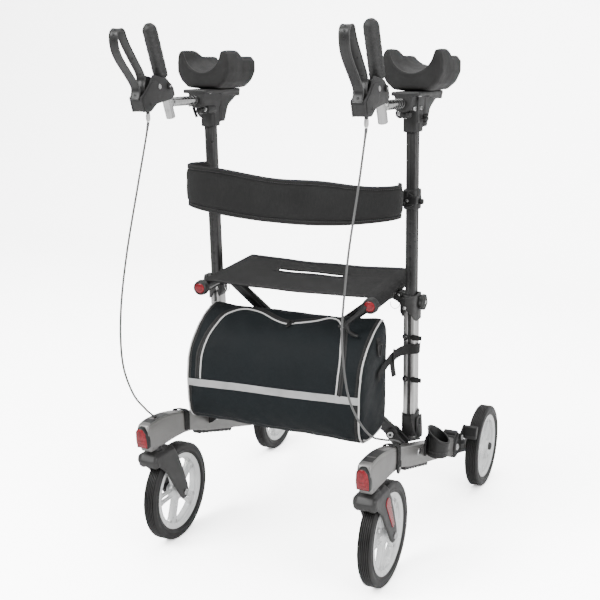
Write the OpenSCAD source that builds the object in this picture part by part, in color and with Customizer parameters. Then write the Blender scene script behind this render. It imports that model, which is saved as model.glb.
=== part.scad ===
// Folding upright walker with forearm rests: two side frames, a cross brace under a sling seat,
// swivelling front wheels, braked rear wheels and height-adjustable forearm posts.
// Front is -Y, up is +Z, the floor is z = 0. right_ nodes are on the +X side, left_ on the -X side.

/* [Frame] */
// Half the distance between the two side rails, centre to centre
rail_x = 248; // [246:1:252]
// Half the distance between the two forearm posts
post_x = 232; // [231:1:233]
// Width of the extruded side rail
rail_w = 28; // [26:1:28]
// Forward lean of the posts in degrees
post_lean = 2.4; // [2:0.1:2.6]

/* [Wheels] */
// Front wheel radius
front_r = 108; // [104:1:108]
// Rear wheel radius
rear_r = 100; // [97:1:100]
// Front tyre width
front_tyre_w = 31; // [28:1:31]
// Rear tyre width
rear_tyre_w = 32; // [28:1:32]
// Number of spokes in each wheel
spokes = 5; // [4:1:7]

/* [Seat] */
// Height of the seat tube's axis at its front end
seat_z = 564; // [560:1:566]
// Rise of the seat towards the rear in degrees
seat_rise = 4.3; // [3:0.1:4.5]
// Thickness of the sling
sling_t = 4; // [3:0.5:5]

/* [Handles] */
// Radius of the handle tube
handle_r = 9.5; // [9:0.1:9.5]
// Radius of the grip
grip_r = 15; // [13:0.5:15.5]
// Forward lean of the grip in degrees
grip_lean = 21; // [20:0.5:22]

/* [Bag and backrest] */
// Half the width of the bag
bag_x = 205; // [190:1:206]
// Height of the backrest band
band_h = 110; // [90:1:112]

/* [Hidden] */
$fn = 48;
fit = 0.05;                          // radial play of a running pin
post_foot = [post_x, -42, 297];      // point on the post's axis at the top of its socket
outer_t = [-48, 243];                // ends of the outer post along its axis
inner_t = [40, 640];                 // ends of the inner post along its axis
hinge_x = 205;                       // brace's lower pivots
hinge_z = 262;
seat_x = 194;                        // seat tubes
seat_y = [-178, 56];                 // ends of the seat tubes
seat_front_y = -186;
brace_y = -83;                       // plane between the two brace bars
bar_t = 14;                          // brace bar thickness
bar_r = 13;                          // half the brace bar's height
seat_at_brace = seat_z + (brace_y - seat_front_y) * tan(seat_rise);
cross_z = hinge_z + hinge_x * (seat_at_brace - hinge_z) / (hinge_x + seat_x);
caster = [246, -308, 231.5];         // swivel axis and the top of the fork's crown
front_hub = [246, -233, front_r];
rear_hub = [290, 335, rear_r];
stem_r = 6;
axle_r = 4;
rear_axle_r = 5;
handle_foot = [230, -227.5, 922.8];  // lower end of the handle tube
bar_z = 954;                         // the handle's horizontal bar
grip_t = [90, 195];                  // ends of the grip along the handle's axis
lever_pivot = [-318, 953];           // y and z
arm_pivot = [214, 160];              // y and z
pad_x = 235;                         // centre of the forearm pad
band_z = 716;
cup_at = [287, -20, 204];
cup_lean = 2.6;                      // the stick leans outward, clear of the forearm pad

// Brake cable routes from the housing to the rail, as x, y, z
RIGHT_CABLE = [[230, -309.5, 918.2], [230, -320, 886], [230, -345, 813], [230, -384, 712], [230, -405, 627],
    [230, -413, 574], [230, -407, 518], [230, -383, 445], [230, -334, 381], [230, -267, 325],
    [233, -200, 294], [240, -166, 282], [245, -150, 274], [246, -143, 267.5]];
LEFT_CABLE = [[-230, -309.5, 918.2], [-230, -322, 882], [-230, -357, 790], [-230, -398, 679],
    [-230, -424, 585], [-230, -433, 507], [-230, -426, 443], [-230, -397, 382], [-232, -357, 340],
    [-239, -326, 317], [-243, -312, 308], [-244, -305, 303.4]];

// ---------- helpers ----------

// Every side piece is drawn for the +X side; side = -1 mirrors it
module on_side(side) {
    if (side > 0) children();
    else mirror([1, 0, 0]) children();
}

// Frame whose Z runs up the post
module on_post() translate(post_foot) rotate([post_lean, 0, 0]) children();

// Frame whose Z runs up the handle tube
module on_handle() translate(handle_foot) rotate([grip_lean, 0, 0]) children();

// Extrudes an outline given in y and z along X, from x0 to x1
module side_plate(x0, x1) translate([x0, 0, 0]) rotate([90, 0, 90]) linear_extrude(x1 - x0) children();

// Extrudes an outline given in x and z along Y, from y0 to y1
module front_plate(y0, y1) translate([0, y1, 0]) rotate([90, 0, 0]) linear_extrude(y1 - y0) children();

// Rod along X
module rod_x(x0, x1, y, z, r) translate([x0, y, z]) rotate([0, 90, 0]) cylinder(h = x1 - x0, r = r);

// Rod along Y
module rod_y(x, y0, y1, z, r) translate([x, y0, z]) rotate([-90, 0, 0]) cylinder(h = y1 - y0, r = r);

// Rectangle with round corners, exact arcs
module round_rect(w, d, r) {
    square([w - 2 * r, d], center = true);
    square([w, d - 2 * r], center = true);
    for (x = [-1, 1], y = [-1, 1]) translate([x * (w / 2 - r), y * (d / 2 - r)]) circle(r);
}

// Catmull-Rom point on four neighbours
function spline(a, b, c, d, t) = 0.5 * (2 * b + (c - a) * t + (2 * a - 5 * b + 4 * c - d) * t * t
    + (3 * b - a - 3 * c + d) * t * t * t);
function at(p, i) = p[max(0, min(len(p) - 1, i))];
function smooth(p, n) = [for (i = [0 : len(p) - 2], k = [0 : n - 1])
    spline(at(p, i - 1), p[i], p[i + 1], at(p, i + 2), k / n), p[len(p) - 1]];
function unit(v) = v / norm(v);
function tangent(p, i) = unit(at(p, i + 1) - at(p, i - 1));

// Flat strip of thickness t that follows the 2-D points p
function strip(p, t) = concat(
    [for (i = [0 : len(p) - 1]) let (d = tangent(p, i)) p[i] + [-d.y, d.x] * t / 2],
    [for (i = [len(p) - 1 : -1 : 0]) let (d = tangent(p, i)) p[i] - [-d.y, d.x] * t / 2]);

// Tube swept along points that lie close to a plane of constant x
module swept(p, r, sides) {
    n = len(p);
    rings = [for (i = [0 : n - 1]) let (d = tangent(p, i), u = unit(cross(d, [1, 0, 0])), w = cross(u, d))
        for (k = [0 : sides - 1]) p[i] + r * (u * cos(360 * k / sides) + w * sin(360 * k / sides))];
    polyhedron(rings, concat(
        [[for (k = [0 : sides - 1]) k]],
        [for (i = [0 : n - 2], k = [0 : sides - 1]) let (m = (k + 1) % sides)
            [i * sides + k, (i + 1) * sides + k, (i + 1) * sides + m, i * sides + m]],
        [[for (k = [sides - 1 : -1 : 0]) (n - 1) * sides + k]]));
}

// ---------- side frame ----------

RAIL = [[-338, 240], [-350, 272], [-346, 294], [-332, 300], [-300, 301], [-262, 297], [-223, 289],
    [-173, 274], [-127, 259], [-60, 239], [13, 217], [110, 188], [190, 165], [212, 152], [222, 136],
    [216, 120], [200, 117], [120, 141], [62, 158], [-30, 184], [-112, 208], [-152, 222], [-187, 232],
    [-230, 236], [-290, 236], [-328, 235]];

// Clevis that carries the brace bar's lower eye, with the bar from y0 to y1
module brace_clevis(y0, y1) {
    difference() {
        for (y = [y0 - 7, y1 + 1]) front_plate(y, y + 6) {
            translate([hinge_x, hinge_z]) circle(12);
            polygon([[hinge_x, hinge_z + 6], [hinge_x + 18, hinge_z - 4], [rail_x - rail_w / 2 + 1, hinge_z - 14],
                [rail_x - rail_w / 2 + 1, hinge_z - 40], [hinge_x + 18, hinge_z - 32], [hinge_x - 4, hinge_z - 11]]);
        }
        rod_y(hinge_x, y0 - 8, y1 + 8, hinge_z, axle_r + 0.02);
    }
}

module lower_rail(side) color([0.52, 0.52, 0.51]) on_side(side) {
    x0 = rail_x - rail_w / 2;
    difference() {
        union() {
            side_plate(x0, x0 + rail_w) polygon(RAIL);
            translate([caster.x, caster.y, 232.5]) cylinder(h = 10, r = 14);
        }
        translate([caster.x, caster.y, 230]) cylinder(h = 50, r = stem_r + fit);
        for (p = [[-70, 226], [72, 184]]) rod_x(x0 - 1, x0 + rail_w + 1, p.x, p.y, 3.05);
        rod_x(x0 - 1, x0 + rail_w + 1, 196, 141, 4.05);
    }
    y_bar = side > 0 ? [brace_y + 1, brace_y + 1 + bar_t] : [brace_y - 1 - bar_t, brace_y - 1];
    brace_clevis(y_bar[0], y_bar[1]);
}

// Steel plate from the rail's rear end to the rear axle
module rear_stay(side) color("dimgray") on_side(side) {
    x0 = rail_x + rail_w / 2 + 0.1;
    difference() {
        side_plate(x0, x0 + 6) {
            hull() {
                translate([rear_hub.y, rear_hub.z]) circle(14);
                translate([196, 141]) circle(17);
            }
            hull() {
                translate([196, 141]) circle(17);
                translate(arm_pivot) circle(9);
            }
        }
        rod_x(x0 - 1, x0 + 8, rear_hub.y, rear_hub.z, rear_axle_r + 0.02);
        rod_x(x0 - 1, x0 + 8, 196, 141, 4.05);
        rod_x(x0 - 1, x0 + 8, arm_pivot.x, arm_pivot.y, 3.02);
    }
}

// Moulded socket that holds the foot of the outer post on the rail
module post_socket(side) color([0.16, 0.17, 0.17]) on_side(side) difference() {
    union() {
        on_post() translate([0, 0, -46]) linear_extrude(52) round_rect(34, 36, 11);
        side_plate(post_x - 14, rail_x - rail_w / 2 - 0.1)
            polygon([[-58, 300], [-24, 300], [-18, 250], [28, 218], [28, 206], [-58, 232]]);
    }
    on_post() translate([0, 0, -50.1]) linear_extrude(70) round_rect(27.1, 28.1, 8.05);
    translate([rail_x - rail_w / 2 - 0.1, -200, 150]) cube([60, 300, 96]);
    side_plate(rail_x - rail_w / 2 - 0.1, rail_x + 30) polygon(RAIL);
    translate([hinge_x - 20, brace_y - 30, hinge_z - 50]) cube([60, 53, 80]);
}

module outer_post(side) color("silver") on_side(side) on_post() difference() {
    translate([0, 0, outer_t[0]]) linear_extrude(outer_t[1] - outer_t[0]) difference() {
        round_rect(27, 28, 8);
        round_rect(22.6, 23.6, 5.9);
        translate([-4, -15]) square([8, 2]);
    }
}

// Clamp at the top of the outer post, with the seat tube's cradle on its inner side
module height_collar(side) color([0.22, 0.23, 0.23]) on_side(side) {
    difference() {
        union() {
            on_post() translate([0, 0, 214]) linear_extrude(56) round_rect(36, 38, 12);
            front_plate(-62, -38) difference() {
                union() {
                    translate([seat_x, 572.5]) circle(20);
                    polygon([[seat_x, 554], [seat_x + 20, 528], [seat_x + 28, 528], [seat_x + 28, 560],
                        [seat_x + 12, 566]]);
                }
                translate([seat_x, 574.5]) circle(16);
                translate([seat_x - 22, 571]) square([60, 40]);
            }
        }
        on_post() translate([0, 0, 200]) linear_extrude(43.2) round_rect(27.2, 28.2, 8.1);
        on_post() translate([0, 0, 200]) linear_extrude(90) round_rect(22.7, 23.7, 5.9);
        on_post() front_plate(-30, 30) polygon([[-30, 200], [-30, 236], [-4, 234], [14, 214], [30, 213],
            [30, 200]]);
        on_post() rod_x(10, 30, 0, 252, 4.05);
    }
}

module rail_reflector(side) color("crimson") on_side(side) {
    translate([rail_x, -350.2, 271]) rotate([8, 0, 0]) rotate([90, 0, 0]) linear_extrude(5)
        round_rect(27, 44, 12);
}

// Screws, pivot bolts and the rear axle bolt
module frame_bolts(side) color("gray") on_side(side) {
    x1 = rail_x + rail_w / 2;
    y_bar = side > 0 ? [brace_y + 1, brace_y + 1 + bar_t] : [brace_y - 1 - bar_t, brace_y - 1];
    for (p = [[-70, 226], [72, 184]]) {
        rod_x(x1 - rail_w - 0.2, x1 + 0.1, p.x, p.y, 3);
        rod_x(x1 + 0.05, x1 + 4, p.x, p.y, 6.5);
    }
    rod_x(x1 - rail_w - 4, x1 + 10, 196, 141, 4);
    rod_x(x1 + 6.2, x1 + 10, 196, 141, 8);
    rod_x(x1 - rail_w - 4, x1 - rail_w - 0.1, 196, 141, 8);
    rod_y(hinge_x, y_bar[0] - 11, y_bar[1] + 11, hinge_z, axle_r);
    for (y = [y_bar[0] - 11, y_bar[1] + 7.1]) rod_y(hinge_x, y, y + 3.9, hinge_z, 7);
    rod_x(x1 + 0.1, rear_hub.x + 21, rear_hub.y, rear_hub.z, rear_axle_r);
    rod_x(x1 + 6.2, x1 + 9, rear_hub.y, rear_hub.z, 9);
    rod_x(x1 + 0.1, x1 + 13, arm_pivot.x, arm_pivot.y, 3);
    rod_x(rear_hub.x + 18.3, rear_hub.x + 24, rear_hub.y, rear_hub.z, 10);
}

// Clamp knob on the height collar
module height_knob(side) color([0.12, 0.12, 0.12]) on_side(side) on_post() translate([0, 0, 252]) {
    rod_x(12.5, 20, 0, 0, 4);
    difference() {
        rod_x(18.3, 32, 0, 0, 17);
        for (a = [0 : 72 : 359]) rotate([a, 0, 0]) rod_x(17, 33, 19, 0, 6);
    }
}

// ---------- sliding upper frame ----------

module inner_post(side) color([0.1, 0.1, 0.1]) on_side(side) on_post() difference() {
    translate([0, 0, inner_t[0]]) linear_extrude(inner_t[1] - inner_t[0]) difference() {
        round_rect(22, 23, 5.6);
        round_rect(18, 19, 3.6);
    }
    for (t = [295 : 25 : 420]) rod_y(0, -20, 0, t, 3);
}

module armrest_bracket(side) color([0.3, 0.31, 0.31]) on_side(side) difference() {
    union() {
        on_post() translate([0, 0, 600]) linear_extrude(46) round_rect(34, 36, 10);
        translate([post_x - 19, -128, 940]) cube([38, 92, 28]);
        translate([pad_x - 30, -128, 967.9]) cube([60, 153, 8]);
        for (x = [post_x - 19.5, post_x + 13.5]) side_plate(x, x + 6)
            polygon([[-50, 905], [-40, 905], [25, 965], [25, 969], [-50, 969]]);
    }
    on_post() translate([0, 0, 590]) linear_extrude(inner_t[1] - 590 + 0.1) round_rect(22.1, 23.1, 5.65);
    rod_y(handle_foot.x, -140, 60, bar_z, handle_r + fit);
    translate([handle_foot.x, -108, 930]) cylinder(h = 15, r = 4.05);
    for (x = [-20, 20], y = [-100, 0]) translate([pad_x + x, y, 960]) cylinder(h = 30, r = 2.6);
}

// Moulded trough that the forearm rests in
module forearm_pad(side) color([0.25, 0.25, 0.25]) on_side(side) difference() {
    front_plate(-95, 35)
        polygon([[pad_x - 34, 976], [pad_x + 34, 976], [pad_x + 54, 990], [pad_x + 62, 1016],
            [pad_x + 61, 1040], [pad_x + 52, 1056], [pad_x + 44, 1056], [pad_x - 44, 1056],
            [pad_x - 52, 1056], [pad_x - 61, 1040], [pad_x - 62, 1016], [pad_x - 54, 990]]);
    translate([pad_x, -112, 1054.1]) rotate([-83.5, 0, 0]) cylinder(h = 175, r = 47);
    side_plate(pad_x - 80, pad_x + 80)
        polygon([[-30, 1060], [-14, 1047], [40, 1044], [40, 1060]]);
    side_plate(pad_x - 80, pad_x + 80)
        polygon([[-100, 1060], [-90, 1056], [-92, 1030], [-84, 990], [-84, 970], [-100, 970]]);
}

// Clamp on the inner post that the backrest band is riveted to
module backrest_bracket(side) color([0.14, 0.14, 0.14]) on_side(side) difference() {
    union() {
        on_post() translate([0, 0, 446]) linear_extrude(40) round_rect(32, 33, 10);
        translate([post_x - 3, -86, 760]) rotate([-90, 0, 0]) cylinder(h = 12, r = 15);
        translate([post_x - 24.5, -112, 758]) cube([4, 30, 24]);
        translate([post_x - 24.5, -90, 758]) cube([26, 6, 24]);
    }
    on_post() translate([0, 0, 440]) linear_extrude(60) round_rect(22.1, 23.1, 5.65);
}

// ---------- handle ----------

module handle_tube(side) color("silver") on_side(side) difference() {
    union() {
        on_handle() cylinder(h = 188, r = handle_r);
        rod_y(handle_foot.x, -238, -22, bar_z, handle_r);
    }
    on_handle() translate([0, 0, -1]) cylinder(h = 20, r = handle_r - 1.6);
    rod_y(handle_foot.x, -60, -21, bar_z, handle_r - 1.6);
}

HOUSING = [[-307, 1009], [-258, 1001], [-236, 984], [-230, 968], [-246, 960], [-296, 953], [-317, 939],
    [-343, 939], [-352, 967], [-338, 976], [-322, 990]];

// Bracket clamped to the handle tube; it carries the lever's pin and the cable's strain relief
module brake_housing(side) color([0.3, 0.31, 0.32]) on_side(side) {
    x = handle_foot.x;
    difference() {
        side_plate(x - 13.8, x + 13.8) polygon(HOUSING);
        side_plate(x - 10.8, x + 10.8) polygon([[-372, 962], [-338, 945], [-316, 945], [-297, 959], [-276, 968],
            [-276, 1020], [-372, 1020]]);
        on_handle() cylinder(h = 200, r = handle_r + fit);
        on_handle() translate([0, 0, grip_t[0] - 0.4]) cylinder(h = 40, r = grip_r + 0.6);
    }
    rod_x(x - 15, x + 15, lever_pivot.x, lever_pivot.y, 3);
    for (y = [-288, -253]) for (s = [-1, 1]) translate([x + s * 15.3, y, 986]) rotate([0, 90, 0])
        cylinder(h = 4, r = 5, center = true);
    translate([x, -309.5, 919.2]) cylinder(h = 27, r = 3.4);
}

module grip(side) color([0.12, 0.12, 0.12]) on_side(side) on_handle() difference() {
    union() {
        translate([0, 0, grip_t[0]]) cylinder(h = grip_t[1] - grip_t[0] - 9, r = grip_r);
        translate([0, 0, grip_t[1] - 9.1]) intersection() {
            translate([0, 0, -11]) sphere(20);
            cylinder(h = 20, r = grip_r);
        }
    }
    translate([0, 0, grip_t[0] - 1]) cylinder(h = 188.2 - grip_t[0] + 1, r = handle_r + fit);
}

LEVER = [[-352, 966], [-348, 980], [-352, 991], [-372, 1012], [-394, 1034], [-407, 1052], [-412, 1072],
    [-410, 1086], [-400, 1093], [-390, 1090], [-385, 1080], [-374, 1063], [-352, 1036], [-333, 1013],
    [-329, 1000], [-333, 984], [-328, 966], [-319, 955]];

// Sprung band, bent into a closed loop, that pulls the cable
module brake_lever(side) color([0.2, 0.2, 0.2]) on_side(side) difference() {
    x = handle_foot.x;
    union() {
        side_plate(x - 10, x + 10) {
            polygon(strip(smooth(LEVER, 4), 3));
            translate(lever_pivot) circle(6.5);
        }
        side_plate(x - 10, x + 10) polygon([[-353.5, 965], [-350.5, 967], [-319, 958], [-321, 950]]);
    }
    rod_x(x - 20, x + 20, lever_pivot.x, lever_pivot.y, 3 + fit);
}

// Wing knob that locks the handle's horizontal bar
module reach_knob(side) color([0.1, 0.1, 0.1]) on_side(side) translate([handle_foot.x, -108, 0]) {
    translate([0, 0, 928]) cylinder(h = 16, r = 4);
    translate([0, 0, 925]) difference() {
        cylinder(h = 14.7, r = 13);
        for (a = [0 : 60 : 359]) rotate(a) translate([15, 0, -1]) cylinder(h = 17, r = 4.5);
    }
}

// ---------- wheels ----------

FORK = [[-334, 231.5], [-340, 224], [-336, 212], [-300, 190], [-252, 112], [-246, 98], [-232, 93],
    [-219, 99], [-216, 112], [-254, 231.5]];

module caster_fork(side) color([0.17, 0.18, 0.18]) on_side(side) {
    difference() {
        union() {
            side_plate(caster.x - 23, caster.x + 23)
                polygon([[-334, 231.5], [-340, 224], [-334, 219], [-262, 219], [-254, 231.5]]);
            for (x = [caster.x - 23, caster.x + 18]) side_plate(x, x + 5) polygon(FORK);
        }
        rod_x(caster.x - 30, caster.x + 30, front_hub.y, front_hub.z, axle_r + fit);
    }
    translate([caster.x, caster.y, 231]) cylinder(h = 42, r = stem_r);
    rod_x(caster.x - 26, caster.x + 26, front_hub.y, front_hub.z, axle_r);
    for (x = [caster.x - 27, caster.x + 23.05]) rod_x(x, x + 3.95, front_hub.y, front_hub.z, 8);
}

// Teardrop lens on the outer fork arm
module fork_reflector(side) color("crimson") on_side(side)
    side_plate(caster.x + 23.1, caster.x + 26) {
        hull() {
            translate([-276, 196]) circle(11);
            translate([-245.5, 137]) circle(5.5);
        }
    }

// Tyre with its tread rounded at the shoulders, axis along X
module tyre(hub, r, w, bead) translate(hub) rotate([0, 90, 0]) rotate_extrude($fn = 96) {
    difference() {
        translate([(r + bead) / 2, 0]) round_rect(r - bead, w, 9);
        for (y = [-10, -5, 0, 5, 10]) translate([r, y]) circle(r = 1.3, $fn = 16);
    }
    translate([bead, -w / 2 + 4]) square([9, w - 8]);
}

// Rim with a hub, a web of slotted spokes and a rolled edge
module rim(hub, bead, w, bore, boss) translate(hub) rotate([0, 90, 0]) difference() {
    union() {
        rotate_extrude($fn = 96) {
            translate([bead - 7, -w / 2]) square([6.9, w]);
            translate([bead - 9, -w / 2]) square([3, 4]);
            translate([bead - 9, w / 2 - 4]) square([3, 4]);
        }
        cylinder(h = boss, r = 20, center = true);
        for (i = [0 : spokes - 1]) rotate((i + 0.5) * 360 / spokes) translate([bead / 2 + 3, 0, 0])
            cube([bead - 14, 20.6, 9], center = true);
    }
    cylinder(h = 80, r = bore, center = true);
    for (i = [0 : spokes - 1]) rotate((i + 0.5) * 360 / spokes) translate([bead * 0.53, 0, 0])
        linear_extrude(30, center = true) round_rect(bead * 0.4, 9, 3.5);
}

module front_tyre(side) color([0.11, 0.11, 0.11]) on_side(side) tyre(front_hub, front_r, front_tyre_w, 84);
module front_rim(side) color([0.85, 0.88, 0.9]) on_side(side) rim(front_hub, 84, 22, axle_r + fit, 35);
module rear_tyre(side) color([0.11, 0.11, 0.11]) on_side(side) tyre(rear_hub, rear_r, rear_tyre_w, 77);
module rear_rim(side) color([0.85, 0.88, 0.9]) on_side(side) rim(rear_hub, 77, 22, rear_axle_r + fit, 36);

// Arm with the brake shoe that presses on the rear tyre
module brake_arm(side) color([0.1, 0.1, 0.1]) on_side(side) {
    x0 = rail_x + rail_w / 2 + 6.5;
    difference() {
        union() {
            side_plate(x0, x0 + 4) {
                translate(arm_pivot) circle(9);
                polygon([[210, 168], [238, 182], [250, 176], [240, 152], [216, 152]]);
            }
            side_plate(x0 + 3.9, rear_hub.x + 14) polygon([[222, 160], [236, 186], [246, 178], [240, 150]]);
        }
        side_plate(x0 + 4, rear_hub.x + 30) translate([rear_hub.y, rear_hub.z]) circle(rear_r + 2.4);
        rod_x(x0 - 1, rear_hub.x + 30, arm_pivot.x, arm_pivot.y, 3 + fit);
    }
}

// ---------- seat and cross brace ----------

// Frame whose Y runs back along the seat tube
module on_seat_tube(side) translate([side * seat_x, seat_front_y, seat_z]) rotate([seat_rise, 0, 0])
    children();

module seat_tube(side) color([0.08, 0.08, 0.08]) on_seat_tube(side)
    rotate([-90, 0, 0]) translate([0, 0, seat_y[0] - seat_front_y]) difference() {
        cylinder(h = seat_y[1] - seat_y[0], r = 11);
        translate([0, 0, 12]) cylinder(h = 300, r = 9.4);
    }

// Front cap of the seat tube; the right one has the hook that holds the walker folded
module seat_cap(side) color([0.1, 0.1, 0.1]) {
    on_seat_tube(side) rotate([-90, 0, 0]) translate([0, 0, -9]) cylinder(h = 16.9, r = 16);
    if (side > 0) front_plate(seat_front_y - 11, seat_front_y - 4) {
        polygon([[seat_x - 12, seat_z + 10], [seat_x - 6, seat_z - 14], [seat_x - 47, seat_z - 46],
            [seat_x - 53, seat_z - 38], [seat_x - 30, seat_z - 8]]);
        polygon([[seat_x - 47, seat_z - 46], [seat_x - 42, seat_z - 58], [seat_x - 24, seat_z - 64],
            [seat_x - 23, seat_z - 58], [seat_x - 37, seat_z - 51], [seat_x - 40, seat_z - 40]]);
        polygon([[seat_x - 47, seat_z - 46], [seat_x - 66, seat_z - 50], [seat_x - 66, seat_z - 45],
            [seat_x - 50, seat_z - 36]]);
    }
}

// Flat bar from the lower pivot on one side to the seat tube on the other; dir 1 rises towards +X
module cross_bar(dir, y0) {
    foot = [-dir * hinge_x, hinge_z];
    head = [dir * seat_x, seat_at_brace];
    rise = atan2(head.y - foot.y, head.x - foot.x);
    difference() {
        front_plate(y0, y0 + bar_t) {
            translate(foot) rotate(rise) translate([0, -bar_r + 2]) square([norm(head - foot), 2 * bar_r - 4]);
            translate(foot) circle(bar_r);
            translate(head) circle(16);
        }
        rod_y(foot.x, y0 - 1, y0 + bar_t + 1, foot.y, axle_r + fit);
        on_seat_tube(dir) rod_y(0, 0, 300, 0, 11.05);
        translate([head.x - 30, y0 - 1, head.y + 1]) cube([60, bar_t + 2, 40]);
    }
}

module cross_bar_a() color([0.06, 0.06, 0.06]) {
    cross_bar(1, brace_y - 1 - bar_t);
    rod_y(0, brace_y - 2, brace_y + bar_t + 6, cross_z, 5);
    rod_y(0, brace_y + bar_t + 2, brace_y + bar_t + 6, cross_z, 9);
}

module cross_bar_b() color([0.06, 0.06, 0.06]) difference() {
    cross_bar(-1, brace_y + 1);
    rod_y(0, brace_y - 1, brace_y + bar_t + 2, cross_z, 5 + fit);
}

// Sling with a sleeve round each seat tube and a hand slot across its middle
module seat_sling() color([0.18, 0.19, 0.19]) difference() {
    translate([0, seat_front_y, seat_z]) rotate([seat_rise, 0, 0]) front_plate(10, 236) difference() {
        union() {
            for (s = [-1, 1]) translate([s * seat_x, 0]) circle(14);
            translate([-seat_x, 14 - sling_t]) square([2 * seat_x, sling_t]);
        }
        for (s = [-1, 1]) translate([s * seat_x, 0]) circle(11.3);
    }
    for (s = [-1, 1]) translate([s * seat_x - 30, brace_y - 18, seat_z - 20]) cube([60, 38, 30]);
    translate([-88, -33, seat_z]) cube([154, 14, 60]);
}

// ---------- soft parts ----------

// Half of the backrest band's centre line, from above
BOW = [[219.5, -92], [221, -108], [228, -124], [234, -141], [232, -160], [218, -179], [186, -192],
    [130, -199.5], [60, -202], [0, -202.5]];

module backrest_band() color([0.15, 0.16, 0.16]) intersection() {
    line = smooth(concat(BOW, [for (i = [len(BOW) - 2 : -1 : 0]) [-BOW[i].x, BOW[i].y]]), 4);
    translate([0, 0, band_z]) linear_extrude(band_h) polygon(strip(line, 13));
    front_plate(-230, -80) polygon([[-260, 739], [-158, 727], [-50, 718], [60, 716], [147, 721], [260, 736],
        [260, 802], [173, 800], [130, 806], [77, 809], [0, 807], [-71, 815], [-136, 824], [-260, 826]]);
}

// Side outline of the bag, y and z
BAG = [[-128, 526], [-158, 516], [-185, 499], [-212, 480], [-238, 448], [-252, 400], [-253, 345], [-249, 312],
    [-238, 292], [-215, 283], [-150, 281], [-120, 284], [-112, 300], [-110, 400], [-112, 500]];

module bag() color([0.07, 0.09, 0.11]) intersection() {
    side_plate(-bag_x, bag_x) polygon(BAG);
    translate([0, -182, 270]) linear_extrude(270) round_rect(2 * bag_x, 148, 34);
}

// Cup for the tip of a walking stick, clipped to the side of the rail
module cane_cup() color([0.16, 0.17, 0.17]) difference() {
    union() {
        translate(cup_at) rotate([0, cup_lean, 0]) cylinder(h = 70, r = 24);
        translate([rail_x + rail_w / 2 + 0.1, -35, 207]) cube([8, 30, 30]);
    }
    translate(cup_at) rotate([0, cup_lean, 0]) translate([0, 0, 4]) cylinder(h = 80, r = 21);
    front_plate(-60, 20) polygon([[250, 290], [330, 290], [330, 232], [312, 238], [262, 268], [250, 268]]);
}

// ---------- the nodes ----------

lower_rail(-1);  // left_lower_rail
rear_stay(-1);  // left_rear_stay
post_socket(-1);  // left_post_socket
outer_post(-1);  // left_outer_post
height_collar(-1);  // left_height_collar
rail_reflector(-1);  // left_rail_reflector
color("gray") swept(smooth(LEFT_CABLE, 4), 1.9, 8);  // left_brake_cable
frame_bolts(-1);  // left_frame_bolts
height_knob(-1);  // left_height_knob
inner_post(-1);  // left_inner_post
armrest_bracket(-1);  // left_armrest_bracket
forearm_pad(-1);  // left_forearm_pad
backrest_bracket(-1);  // left_backrest_bracket
handle_tube(-1);  // left_handle_tube
brake_housing(-1);  // left_brake_housing
grip(-1);  // left_grip
brake_lever(-1);  // left_brake_lever
reach_knob(-1);  // left_reach_knob
caster_fork(-1);  // left_caster_fork
fork_reflector(-1);  // left_fork_reflector
front_tyre(-1);  // left_front_tyre
front_rim(-1);  // left_front_rim
rear_tyre(-1);  // left_rear_tyre
rear_rim(-1);  // left_rear_rim
brake_arm(-1);  // left_brake_arm
seat_tube(-1);  // left_seat_tube
seat_cap(-1);  // left_seat_cap
lower_rail(1);  // right_lower_rail
rear_stay(1);  // right_rear_stay
post_socket(1);  // right_post_socket
outer_post(1);  // right_outer_post
height_collar(1);  // right_height_collar
rail_reflector(1);  // right_rail_reflector
color("gray") swept(smooth(RIGHT_CABLE, 4), 1.9, 8);  // right_brake_cable
frame_bolts(1);  // right_frame_bolts
height_knob(1);  // right_height_knob
inner_post(1);  // right_inner_post
armrest_bracket(1);  // right_armrest_bracket
forearm_pad(1);  // right_forearm_pad
backrest_bracket(1);  // right_backrest_bracket
handle_tube(1);  // right_handle_tube
brake_housing(1);  // right_brake_housing
grip(1);  // right_grip
brake_lever(1);  // right_brake_lever
reach_knob(1);  // right_reach_knob
caster_fork(1);  // right_caster_fork
fork_reflector(1);  // right_fork_reflector
front_tyre(1);  // right_front_tyre
front_rim(1);  // right_front_rim
rear_tyre(1);  // right_rear_tyre
rear_rim(1);  // right_rear_rim
brake_arm(1);  // right_brake_arm
seat_tube(1);  // right_seat_tube
seat_cap(1);  // right_seat_cap
cross_bar_a();
cross_bar_b();
seat_sling();
backrest_band();
bag();
cane_cup();
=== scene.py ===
import math
from math import cos, pi, radians, sin
import bmesh
import bpy
import numpy as np
from mathutils import Matrix, Vector
from mathutils.bvhtree import BVHTree
from mathutils.geometry import tessellate_polygon


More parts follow.
